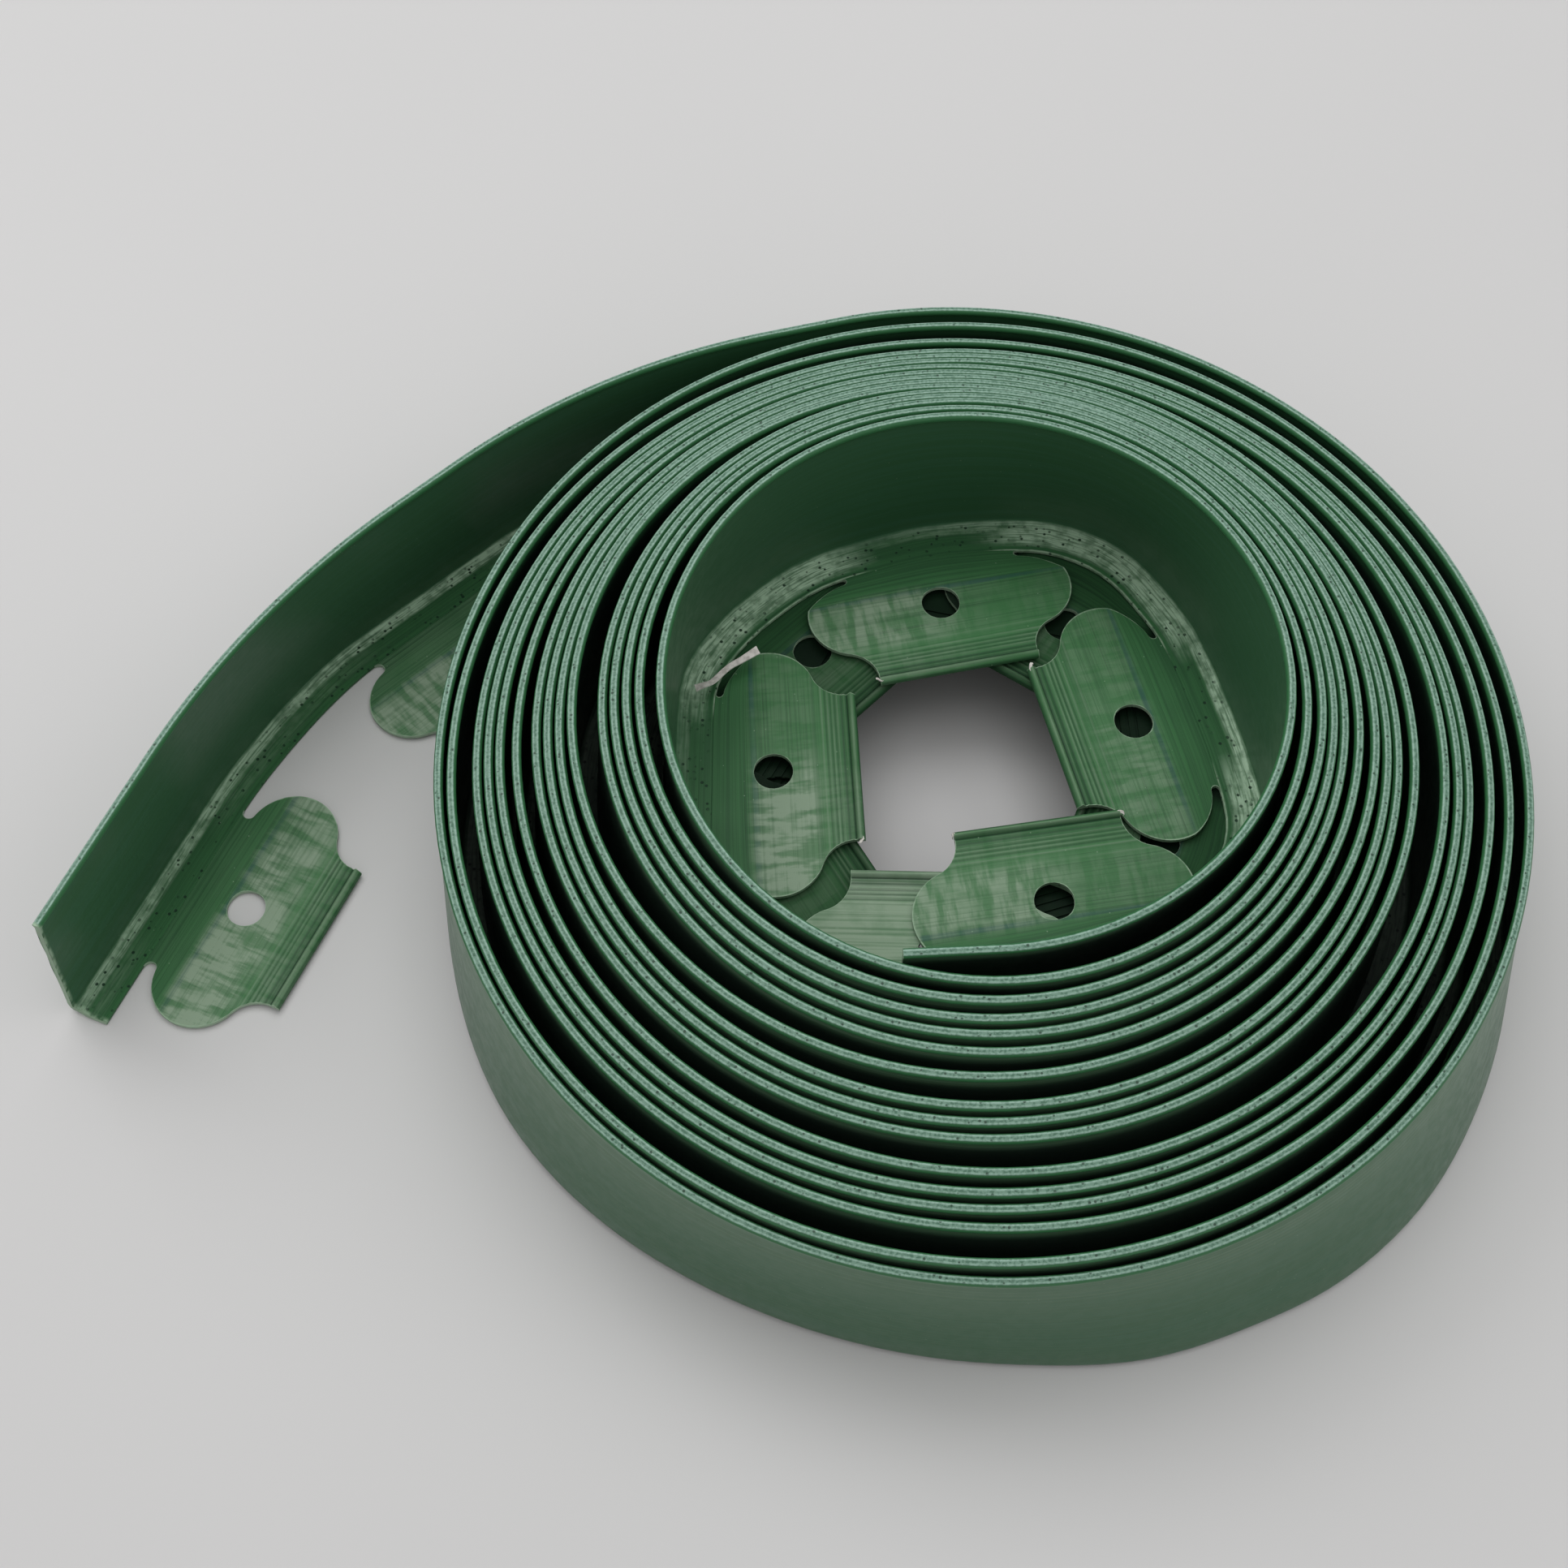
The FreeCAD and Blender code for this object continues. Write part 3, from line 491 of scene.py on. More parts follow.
# The free end's cut: how far back it starts, how much further back it is at the rim, and how far along
# the strip this fades. Its roughness is two waves: size, then turn per millimetre up and out, and start.
CUT_BACK = 0.2
CUT_SLANT = 1.9
CUT_FADE = 12.0
CUT_WAVES = ((0.15, 0.9, 1, 0), (0.12, 2.3, 0, 1))


def slant_free_end(points, stations):
    """Slant and roughen the last section, as the strip was cut by hand: the rim ends before the foot."""
    x, z = strip_profile()
    along = ROUTE.direction(stations[-1])
    rough = sum(size * np.sin(z * up + x * out + start) for size, up, out, start in CUT_WAVES)
    weight = np.clip(1 - (stations[-1] - stations) / CUT_FADE, 0, 1) ** 2
    shift = weight[:, None] * (rough - CUT_BACK - CUT_SLANT * z / RIM_HEIGHT)
    points[..., 0] += shift * along.real
    points[..., 1] += shift * along.imag


def grid_quads(rows, columns, closed):
    """Faces between neighbouring rows of a grid, which may be closed into a tube."""
    row, column = np.mgrid[0:rows - 1, 0:columns - (not closed)]
    beyond = (column + 1) % columns
    return np.stack([row * columns + column, row * columns + beyond,
                     (row + 1) * columns + beyond, (row + 1) * columns + column], -1).reshape(-1, 4)


def add_object(name, data):
    """Put an object that holds some data into the scene."""
    item = bpy.data.objects.new(name, data)
    bpy.context.scene.collection.objects.link(item)
    return item


def make_piece(name, points, faces, uv, materials, slots=None, **attributes):
    """A mesh object from millimetre points, outward faces and per-corner UVs in metres.

    Each attribute gives every point a number that the material reads.
    """
    mesh = bpy.data.meshes.new(name)
    mesh.from_pydata((points * METRES).tolist(), [], faces)
    layer = mesh.uv_layers.new(name="along")
    layer.data.foreach_set("uv", np.asarray(uv, np.float32).ravel())
    for material in materials:
        mesh.materials.append(material)
    if slots is not None:
        mesh.polygons.foreach_set("material_index", np.asarray(slots, np.int32))
    mesh.update()
    mesh.shade_smooth()
    mesh.set_sharp_from_angle(angle=SHARP_ANGLE)
    for key, values in attributes.items():
        layer = mesh.attributes.new(key, "FLOAT", "POINT")
        layer.data.foreach_set("value", np.asarray(values, np.float32))
    return add_object(name, mesh)


SHARP_ANGLE = np.radians(38)
CLOSING_STEP = 0.9


def strip_piece(name, first, last, spacing, materials, free_end=False):
    """A stretch of the strip: the profile carried along, closed round and capped at both ends.

    Its material slots are the wall with the bead, the cut ends, and the band.
    """
    stations = strip_stations(first, last, spacing)
    points = strip_surface(stations)
    levels = profile_levels()
    if free_end:
        slant_free_end(points, stations)
    rows, columns = points.shape[:2]
    quads = grid_quads(rows, columns, True)
    column = quads % columns
    column[column < column[:, :1]] = columns
    across = np.append(levels, levels[-1] + CLOSING_STEP)
    uv = np.stack([stations[quads // columns], across[column]], -1).reshape(-1, 2)
    caps = [list(range(columns))[::-1], list(range((rows - 1) * columns, rows * columns))]
    cap_uv = [np.stack([np.full(columns, stations[end]), levels[::order]], -1)
              for end, order in ((0, -1), (-1, 1))]
    on_band = levels[np.minimum(column[:, 0], columns - 2)] > BAND_BEGINS
    slots = np.append(np.where(on_band, 2, 0), [1, 1])
    pale_strength = np.where(stations > ROOT, TAIL_CHALK_AND_SHEEN, 1.0)
    uv = np.concatenate([uv] + cap_uv) * METRES
    # Marks per point: the band's chalk with painted sheen between the tabs, painted sheen along the corner,
    # and painted shade between turns
    return make_piece(name, points.reshape(-1, 3), quads.tolist() + caps, uv, materials, slots,
                      chalk=np.repeat(notch_share(stations) * pale_strength, columns),
                      corner=np.repeat(eased(stations, CORNER_SHEEN), columns),
                      shade=gap_shade(stations).reshape(-1))


# How far the painted shade on the inner face, deep between turns, takes to fade in, where it fades out, from
# the tail's root, and how far the outer face's takes to fade out. Then where the band's chalk and painted
# sheen start, from a tab's middle, and how far they take to fade in.
INNER_SHADE_FADE = 15.0
INNER_SHADE_END = (-90.0, 10.0)
OUTER_SHADE_FADE = 60.0
CHALK_SHEEN_STARTS = NECK - 9.0
CHALK_SHEEN_FADE = 15.0


def gap_shade(distance):
    """How much painted shade the strip gets, per station and profile point: 1 on the faces that close turns
    shut in, where shade falls deep between them.

    The first turn's inner face, the last turn's outer face and the whole tail get none.
    """
    x, _ = strip_profile()
    second = HEIGHT_STOPS[5]
    last = HEIGHT_STOPS[-5] - TAIL_START
    ending, ended = INNER_SHADE_END
    stops = [second, second + INNER_SHADE_FADE, ROOT + ending, ROOT + ended]
    inner = np.interp(distance, stops, [0, 1, 1, 0])
    outer = np.interp(distance, [last - OUTER_SHADE_FADE, last], [1, 0])
    return np.where(x < 0, inner[:, None], outer[:, None])


def notch_share(distance):
    """1 where the band runs free between two tabs, 0 at the middle of a tab."""
    nearest = abs(distance[:, None] - SEATS.middle[None, :]).min(1)
    return smooth(np.clip((nearest - CHALK_SHEEN_STARTS) / CHALK_SHEEN_FADE, 0, 1))


def tab_half_width(v, outline):
    """Half the tab's width at a distance v from the hole's middle, positive towards the lip.

    It is the slot's round end, the lobe, the hollow shoulder and the lip.
    """
    slot_radius, slot_level, lobe_radius, lobe_level = outline
    shoulder_x = LIP_HALF_WIDTH + SHOULDER
    rise = np.sqrt((lobe_radius + SHOULDER) ** 2 - (shoulder_x - NECK) ** 2)
    shoulder_v = lobe_level + rise
    lobe_high = lobe_level + rise * lobe_radius / (lobe_radius + SHOULDER)
    slot = NECK + slot_radius - np.sqrt(np.clip(slot_radius ** 2 - (v - slot_level) ** 2, 0, None))
    lobe = NECK + np.sqrt(np.clip(lobe_radius ** 2 - (v - lobe_level) ** 2, 0, None))
    shoulder = shoulder_x - np.sqrt(np.clip(SHOULDER ** 2 - (v - shoulder_v) ** 2, 0, None))
    bounds = [v < slot_level + slot_radius, v < lobe_high, v < shoulder_v]
    return np.select(bounds, [slot, lobe, shoulder], LIP_HALF_WIDTH)


# Ridges along the lip: distance from the hole's middle, height and half width
RIDGES = ((18.6, 0.75, 0.55), (17.75, -0.2, 0.25), (17.05, 0.2, 0.22), (15.3, 0.2, 0.24),
          (14.3, 0.18, 0.22), (13.2, 0.16, 0.26), (11.7, 0.1, 0.3), (9.5, 0.05, 0.4))
TIP = TAB_REACH - HOLE_DISTANCE
LIP_ROUNDING = 0.5
LIP_DROP = 0.45

# The tab's grid: half the square of cells left out for the hole, and half the square that eases round it
HOLE_SQUARE = 4.0
EASED_SQUARE = 8.0
LOBE_ROWS_END = -8.6
LOBE_ROW_POWER = 1.6
WING_POWER = 1.7
LIP_ROWS = 8.7
LIP_ROW_STEP = 0.22


def ridge_height(v):
    """Height of the flange's top above its plain level: a bell for each ridge, rounded off at the lip."""
    height = sum(rise * np.exp(-((v - place) / width) ** 2) for place, rise, width in RIDGES)
    return height - LIP_DROP * np.clip(1 - (TIP - v) / LIP_ROUNDING, 0, 1) ** 2


def tab_grid(outline):
    """Points (u, v) of a tab from its hole's middle, with a square of cells left out for the hole.

    Rows run along the strip. The square's edge is drawn in to the hole's circle, and the grid round
    it eases back to straight lines over a few millimetres.
    """
    slot_end = outline[1] - outline[0] * np.cos(np.linspace(0, np.pi, 12))
    lobe_start = slot_end[-1] + (LOBE_ROWS_END - slot_end[-1]) * np.linspace(0, 1, 8)[1:] ** LOBE_ROW_POWER
    middle = np.arange(-EASED_SQUARE, EASED_SQUARE + 0.5, 1.0)
    lip = np.append(np.arange(LIP_ROWS, TIP - 0.1, LIP_ROW_STEP), TIP)
    v = np.concatenate([[ROOT_LEVEL], slot_end, lobe_start, middle, lip])
    half = tab_half_width(v, outline)
    ease = 1 - (1 - np.linspace(0, 1, 9)[1:]) ** WING_POWER
    wing = EASED_SQUARE + (half[:, None] - EASED_SQUARE) * ease
    u = np.concatenate([-wing[:, ::-1], np.tile(middle, (len(v), 1)), wing], 1)
    v = np.tile(v[:, None], (1, u.shape[1]))
    largest = np.maximum(abs(u), abs(v))
    round_to = HOLE_RADIUS / np.maximum(np.hypot(u, v), 1e-6)
    share = np.clip((largest - HOLE_SQUARE) / (EASED_SQUARE - HOLE_SQUARE), 0, 1)
    drawn_in = (largest < EASED_SQUARE) & (largest >= HOLE_SQUARE - 0.01)
    pull = np.where(drawn_in, round_to + (1 - round_to) * share, 1)
    return u * pull, v * pull, largest <= HOLE_SQUARE + 0.01


def loop_round(columns, low_row, high_row, low_column, high_column):
    """Grid indices round a rectangle of the grid, anticlockwise."""
    bottom = [(low_row, c) for c in range(low_column, high_column)]
    right = [(r, high_column) for r in range(low_row, high_row)]
    top = [(high_row, c) for c in range(high_column, low_column, -1)]
    left = [(r, low_column) for r in range(high_row, low_row, -1)]
    return np.array([r * columns + c for r, c in bottom + right + top + left])


def tab_shape(outline):
    """One tab's points, faces, material slots and rim marks, u along the strip, v from the hole.

    The grid is laid twice, as the top with its ridges and as the plain underside, and joined by a
    ring of faces round the outline and another round the hole. These are cut faces, but for the lip's.
    """
    u, v, near_hole = tab_grid(outline)
    rows, columns = u.shape
    count = rows * columns
    top = np.stack([u, v, FLANGE + ridge_height(v)], -1).reshape(-1, 3)
    bottom = np.stack([u, v, np.zeros_like(u)], -1).reshape(-1, 3)
    quads = grid_quads(rows, columns, False)
    quads = quads[~near_hole.reshape(-1)[quads].all(1)]
    hole_rows, hole_columns = np.nonzero(near_hole)
    outline = loop_round(columns, 0, rows - 1, 0, columns - 1)
    hole = loop_round(columns, hole_rows.min(), hole_rows.max(), hole_columns.min(), hole_columns.max())
    rings = []
    for ring in (outline, hole[::-1]):
        after = np.roll(ring, -1)
        rings.append(np.stack([ring + count, after + count, after, ring], -1))
    faces = np.concatenate([quads, quads[:, ::-1] + count] + rings)
    points = np.concatenate([top, bottom])
    slots = np.zeros(len(faces), int)
    slots[2 * len(quads):] = 1
    lip = 2 * len(quads) + columns + rows - 2
    slots[lip:lip + columns - 1] = 0
    rim = np.zeros((rows, columns))
    rim[1:, [0, -1]] = 1
    rim.reshape(-1)[hole] = 1
    used, compact = np.unique(faces, return_inverse=True)
    return points[used], compact.reshape(-1, 4), slots, np.tile(rim.reshape(-1), 2)[used]


# Distances from a tab's middle at which the band's edge is found, and the level up to which the tab's
# root follows that edge
ROOT_SAMPLES = np.linspace(-36, 36, 73)
ROOT_FOLLOWS = -4.0


def root_shift(tab, u):
    """How far inward of the tab's straight root line the band's edge lies."""
    near = SEATS.middle[tab] + ROOT_SAMPLES
    foot, normal = foot_line(np.clip(near, 0, ROUTE.length))
    edge = foot - normal * (WALL / 2 + BAND_WIDTH)
    across = np.conj(SEATS.along[tab]) * (edge - SEATS.origin[tab])
    return np.interp(u, across.real, across.imag - BAND_WIDTH)


# Painted sheen, a whitish reflection, on the tabs that show: its strength before the hole and past it, then
# over the whole tab
PAINTED_SHEEN = {
    0: (0.75, 0.25, 0.0), 1: (0.4, 0.22, 0.0), 2: (0.12, 0.7, 0.0), 3: (0.2, 1.15, 0.0),
    4: (0.8, 0.8, 1.0), 7: (0.3, 0.3, 0.0), 8: (0.2, 0.2, 0.0),
    92: (0.8, 0.8, 0.1), 93: (1.0, 1.0, 0.15), 94: (0.85, 1.2, 0.05),
}
PLAIN_SHEEN = (0.3, 0.3, 0.0)
SHEEN_FADE = 9.0
LIFT_POWER = 1.5

# Painted shade on the second turn's tabs: the plain level and what is added below the first turn's openings.
# For each opening, its side, its level, the painted shade's reach and its soft edge's width.
TAB_SHADE_LEVELS = (0.5, 0.45)
OPENINGS = ((0, 0, 11, 4), (-1, COIL_TAB[1], 5.5, 3), (1, COIL_TAB[1], 5.5, 3))
TABS_ABOVE = 5


def tabs_piece(name, tabs, materials, outline=COIL_TAB, lift=0.0):
    """Tabs set in their seats. Each is level across, slopes with the strip, and may rise to its lip."""
    points, faces, slots, rim = tab_shape(outline)
    u, v, z = points.T
    all_points = []
    all_uv = []
    marks = {"painted_sheen": [], "chalk": [], "shade": [], "rim": []}
    for tab in tabs:
        follows = np.clip((v - ROOT_FOLLOWS) / (ROOT_LEVEL - ROOT_FOLLOWS), 0, 1)
        inward = v + HOLE_DISTANCE + root_shift(tab, u) * follows
        plan = SEATS.origin[tab] + SEATS.along[tab] * u + SEATS.inward[tab] * inward
        rise = lift * np.clip((v - ROOT_LEVEL) / (TAB_REACH - BAND_WIDTH), 0, 1) ** LIFT_POWER
        height = SEATS.height[tab] + SEATS.slope[tab] * u + z + rise
        all_points.append(np.stack([plan.real, plan.imag, height], -1))
        along = SEATS.middle[tab] + u
        all_uv.append(np.stack([along, v], -1)[faces.reshape(-1)])
        # Each tab's painted sheen before and past its hole, and chalk with painted sheen over the whole tab
        before, past, whole = PAINTED_SHEEN.get(int(tab), PLAIN_SHEEN)
        share = smooth(np.clip((u + SHEEN_FADE) / (2 * SHEEN_FADE), 0, 1))
        for key, values in (("painted_sheen", before + (past - before) * share), ("chalk", np.full_like(u, whole)),
                            ("shade", tab_shade(tab, plan)), ("rim", rim)):
            marks[key].append(values)
    all_faces = np.concatenate([faces + number * len(points) for number in range(len(tabs))]).tolist()
    return make_piece(name, np.concatenate(all_points), all_faces, np.concatenate(all_uv) * METRES, materials,
                      np.tile(slots, len(tabs)), **{key: np.concatenate(rows) for key, rows in marks.items()})


def tab_shade(tab, plan):
    """How much painted shade a tab gets: the second turn's a little, and most below the first's holes and
    slots.
    """
    if SEATS.turn[tab] != 2:
        return np.zeros(len(plan))
    above = np.nonzero(SEATS.turn == 1)[0][:TABS_ABOVE]
    plain, added = TAB_SHADE_LEVELS
    shade = 0
    for side, level, reach, soft in OPENINGS:
        inset = SEATS.inward[above] * (level + HOLE_DISTANCE)
        gaps = SEATS.origin[above] + inset + SEATS.along[above] * side * NECK
        shade = np.maximum(shade, np.clip((reach - abs(plan[:, None] - gaps).min(1)) / soft, 0, 1))
    return plain + added * shade


def rounded(points):
    """Cut the corners off a line of points, twice, so that it bends softly."""
    points = np.array(points, float)
    for _ in range(2):
        near = points[:-1] * 0.75 + points[1:] * 0.25
        far = points[:-1] * 0.25 + points[1:] * 0.75
        between = np.stack([near, far], 1).reshape(-1, points.shape[1])
        points = np.concatenate([points[:1], between, points[-1:]])
    return points


def shavings_piece(name, shavings, material):
    """Slivers that the punch left: ribbons with a flat, four-cornered section, as wide as their rows give.

    Each shaving is its middle line's points with the half-width's direction at each, and a thickness.
    """
    all_points = []
    all_faces = []
    for rows, thickness in shavings:
        rows = rounded(rows)
        line, half_width = rows[:, :3], rows[:, 3:]
        normal = np.cross(np.gradient(line, axis=0), half_width)
        normal *= thickness / 2 / np.linalg.norm(normal, axis=1)[:, None]
        corners = np.stack([line - half_width - normal, line + half_width - normal,
                            line + half_width + normal, line - half_width + normal], 1)
        first = sum(len(p) for p in all_points)
        last = 4 * (len(line) - 1)
        all_faces += (grid_quads(len(line), 4, True) + first).tolist()
        all_faces += [[first + 3, first + 2, first + 1, first], [first + last + k for k in range(4)]]
        all_points.append(corners.reshape(-1, 3))
    points = np.concatenate(all_points)
    uv = points[np.concatenate(all_faces)][:, :2] * METRES
    return make_piece(name, points, all_faces, uv, [material])


# The long sliver over the left tab's slot: its middle line, then half its width's direction
SLIVER = (
    (-22.7, 23.2, 26.6, 0.25, -0.95, 0.1), (-20.8, 23.4, 27.6, 0.10, -0.85, 0.3),
    (-19.4, 23.7, 28.0, 0.20, -0.80, 0.4), (-18.9, 24.0, 28.0, 0.50, -0.65, 0.4),
    (-17.8, 25.3, 27.6, 0.60, -0.50, 0.3), (-16.5, 26.9, 27.6, 0.55, -0.50, 0.2),
    (-14.7, 28.5, 27.8, 0.40, -0.65, 0.1), (-12.4, 29.7, 28.2, 0.35, -0.75, 0.1),
    (-10.5, 30.8, 28.6, 0.40, -0.85, 0.0), (-8.3, 32.3, 28.8, 0.45, -1.00, 0.0),
)
SLIVER_THICKNESS = 0.3
# Small burrs at corners of the lips: tab, which end, and how far it curls out along and up
BURRS = ((0, 1, 0.9, 0.5), (0, -1, 0.5, 0.9), (1, 1, 1.3, 0.6), (2, 1, 1.0, 0.7), (3, 1, 1.1, 0.4))
# A burr's middle line: how far ahead, up and inward of the lip's corner
BURR_LINE = ((-0.6, 0.0, 0.0), (0.0, 0.25, 0.1), (0.6, 0.8, -0.2), (1.0, 0.5, -0.5), (0.8, 0.0, -0.6))
BURR_INSET = 0.9
BURR_HALF_WIDTH = 0.35
BURR_TWIST = 0.15
BURR_THICKNESS = 0.22
FIRST_LIFT = 1.6


def burr(tab, end, out, up):
    """A curl of plastic at the end of a tab's lip: the burrs' line, stretched out along the lip and up."""
    along = SEATS.along[tab] * end
    inward = SEATS.inward[tab]
    corner = SEATS.origin[tab] + along * LIP_HALF_WIDTH + inward * (TAB_REACH - BURR_INSET)
    height = SEATS.height[tab] + SEATS.slope[tab] * LIP_HALF_WIDTH * end + FLANGE + FIRST_LIFT
    across = inward * BURR_HALF_WIDTH
    rows = []
    for ahead, rise, inset in BURR_LINE:
        place = corner + along * ahead * out + inward * inset
        rows.append((place.real, place.imag, height + rise * up, across.real, across.imag, BURR_TWIST))
    return rows, BURR_THICKNESS


class Shader:
    """Short words for building a material's nodes."""

    def __init__(self, name):
        self.material = bpy.data.materials.new(name)
        self.material.use_nodes = True
        self.tree = self.material.node_tree
        self.surface = self.tree.nodes["Principled BSDF"]

    def put(self, socket, value):
        """Link an output into a socket, or set the socket to a plain value.

        A tuple that starts with an output stands for a smooth step of it, as in range().
        """
        if isinstance(value, tuple) and isinstance(value[0], bpy.types.NodeSocket):
            value = self.range(*value)
        if isinstance(value, bpy.types.NodeSocket):
            self.tree.links.new(value, socket)
        else:
            socket.default_value = value

    def node(self, kind, values=(), **settings):
        """A node with its settings, and with values in its first sockets or in those of given names."""
        node = self.tree.nodes.new("ShaderNode" + kind)
        for key, value in settings.items():
            setattr(node, key, value)
        names = values if isinstance(values, dict) else range(len(values))
        for key in names:
            self.put(node.inputs[key], values[key])
        return node

    def chain(self, operation, values):
        """Join values by one operation, from the first to the last."""
        result = values[0]
        for value in values[1:]:
            result = self.node("Math", (result, value), operation=operation).outputs[0]
        return result

    def times(self, *values):
        return self.chain("MULTIPLY", values)

    def plus(self, *values):
        return self.chain("ADD", values)

    def range(self, value, low, high, to_low=0.0, to_high=1.0, kind="SMOOTHSTEP"):
        """A step from one value to another between two limits, smooth or LINEAR."""
        return self.node("MapRange", (value, low, high, to_low, to_high), interpolation_type=kind).outputs[0]

    def between(self, value, low, high, soft):
        """1 between two limits and 0 outside them, with soft edges."""
        return self.times(self.range(value, low - soft, low + soft),
                          self.range(value, high - soft, high + soft, 1.0, 0.0))

    def noise(self, vector, scale, detail=3.0, roughness=0.55):
        """Soft noise, mostly from 0.3 to 0.7."""
        sockets = {"Vector": vector, "Scale": scale, "Detail": detail, "Roughness": roughness}
        return self.node("TexNoise", sockets).outputs[0]

    def streaks(self, uv, along, across, detail=3.0, roughness=0.55):
        """Noise with its own scale along the strip and across it."""
        stretched = self.node("VectorMath", (uv, (along, across, 1.0)), operation="MULTIPLY")
        return self.noise(stretched.outputs[0], 1.0, detail, roughness)

    def mix(self, factor, first, second):
        """The first colour where the factor is 0 and the second where it is 1."""
        return self.node("Mix", {0: factor, 6: first, 7: second}, data_type="RGBA").outputs[2]

    def marks(self, across, stops):
        """Levels at places near the lip, in millimetres from the hole's middle, joined by straight lines."""
        low, high = LIP_SPAN
        node = self.node("ValToRGB", (self.range(across, low * METRES, high * METRES, kind="LINEAR"),))
        elements = node.color_ramp.elements
        for number, (place, level) in enumerate(stops):
            share = (place - low) / (high - low)
            element = elements[number] if number < 2 else elements.new(share)
            element.position = share
            element.color = (level, level, level, 1)
        return node.outputs[0]

    def object_place(self):
        return self.node("TexCoord").outputs["Object"]

    def surface_place(self):
        """The surface's own coordinates: both, then that along the strip and that across it."""
        uv = self.node("UVMap", uv_map="along").outputs[0]
        parts = self.node("SeparateXYZ", (uv,)).outputs
        return uv, parts[0], parts[1]

    def attribute(self, name):
        """A number that the piece's points carry."""
        return self.node("Attribute", attribute_name=name).outputs["Fac"]

    def dots(self, vector, scale, size, share):
        """Small round dots, one in a cell, in a share of the cells: 1 in a dot."""
        cells = self.node("TexVoronoi", {"Vector": vector, "Scale": scale}).outputs
        colour = self.node("SeparateColor", (cells["Color"],)).outputs[0]
        chosen = self.node("Math", (colour, share), operation="LESS_THAN").outputs[0]
        return self.times(self.range(cells["Distance"], size * 0.6, size, 1.0, 0.0), chosen)

    def finish(self, tone, rough, height, strength, gloss=0.5):
        """Put colour, roughness, bump and a plain specular level on the surface."""
        bump = self.node("Bump", {"Height": height, "Strength": strength, "Distance": BUMP_DEPTH})
        for name, value in (("Base Color", tone), ("Roughness", rough), ("Normal", bump.outputs[0]),
                            ("Specular IOR Level", gloss)):
            self.put(self.surface.inputs[name], value)
        return self.material


WALL_GREEN = (0.040, 0.122, 0.062, 1)
DEEP_GREEN = (0.035, 0.111, 0.047, 1)
LEAF_GREEN = (0.057, 0.188, 0.070, 1)
PALE_GREEN = (0.27, 0.37, 0.265, 1)
# Pale chalk, bright enough to be a painted sheen as well, on the band between the tabs and along its corner
CHALK_AND_SHEEN_GREEN = (0.42, 0.60, 0.43, 1)
EDGE_GREEN = (0.32, 0.46, 0.32, 1)
BEAD_PALE = (0.27, 0.43, 0.345, 1)
BEAD_TROUGH = (0.062, 0.150, 0.098, 1)
BEAD_FLANK = (0.036, 0.150, 0.058, 1)
# Dark tone of real pits and streaks, and of painted shade in the lip's grooves
PIT_AND_SHADE_GREEN = (0.014, 0.040, 0.022, 1)
BLUE_STREAK = (0.030, 0.105, 0.082, 1)
# Near-black tones of painted shade: under other tabs, and deep in the gaps between turns
SHADE_GREEN = (0.004, 0.008, 0.006, 1)
GAP_SHADE_GREEN = (0.012, 0.016, 0.017, 1)
SHAVING_DULL = (0.62, 0.59, 0.55, 1)
SHAVING_WHITE = (0.90, 0.86, 0.82, 1)
BUMP_DEPTH = 0.0002

# Zones on the strip's section and on the tabs, as levels in metres, then distances from the crown
WALL_END = (-0.0240, -0.0205)
BAND_START = (-0.0225, -0.0210)
SHEEN_CORNER = (-0.0226, -0.0196)
BAND_STRIPE = (-0.0222, -0.0160)
BAND_EDGE = (-0.0146, -0.0142)
BLUE_LINE = (-0.0049, -0.0037)
CROWN_EDGE = (0.00062, 0.00088)
SHOULDER_LINE = (0.00028, 0.00066)
FLANK_EDGE = (0.0021, 0.0032)
TORN_END = (ROUTE.length * METRES - 0.0014, ROUTE.length * METRES - 0.0002)

# Pale lines painted as highlights on the ridge tops near the lip, and dark lines painted as shade in the
# grooves
# between them: distance from the hole's middle in millimetres, and strength
LIP_SPAN = (8.0, 20.0)
LIP_LINES = (
    (8.0, 0.0), (9.1, 0.0), (9.5, 0.22), (9.9, 0.0), (11.3, 0.0), (11.7, 0.35), (12.1, 0.0), (12.8, 0.0),
    (13.2, 0.4), (13.6, 0.0), (14.0, 0.05), (14.3, 0.45), (14.6, 0.0), (15.0, 0.05), (15.3, 0.4), (15.7, 0.0),
    (16.8, 0.0), (17.05, 0.3), (17.3, 0.0), (17.9, 0.1), (18.4, 0.5), (18.8, 0.45), (19.3, 0.0),
)
LIP_GROOVES = (
    (8.0, 0.0), (12.2, 0.0), (12.6, 0.4), (13.0, 0.0), (13.5, 0.2), (13.8, 0.55), (14.1, 0.0), (14.6, 0.2),
    (14.8, 0.6), (15.1, 0.0), (15.8, 0.2), (16.4, 0.7), (16.8, 0.2), (17.3, 0.3), (17.7, 0.95), (18.1, 0.0),
    (19.2, 0.0), (19.6, 0.5),
)


def crown_level():
    """Level of the bead's crown on the strip's section, in metres."""
    x, z = strip_profile()
    tilt = np.radians(CROWN_TILT)
    away = np.hypot(x - BEAD_RADIUS * np.cos(tilt), z - RIM_HEIGHT - BEAD_RADIUS * np.sin(tilt))
    return float(profile_levels()[np.argmin(away)] * METRES)


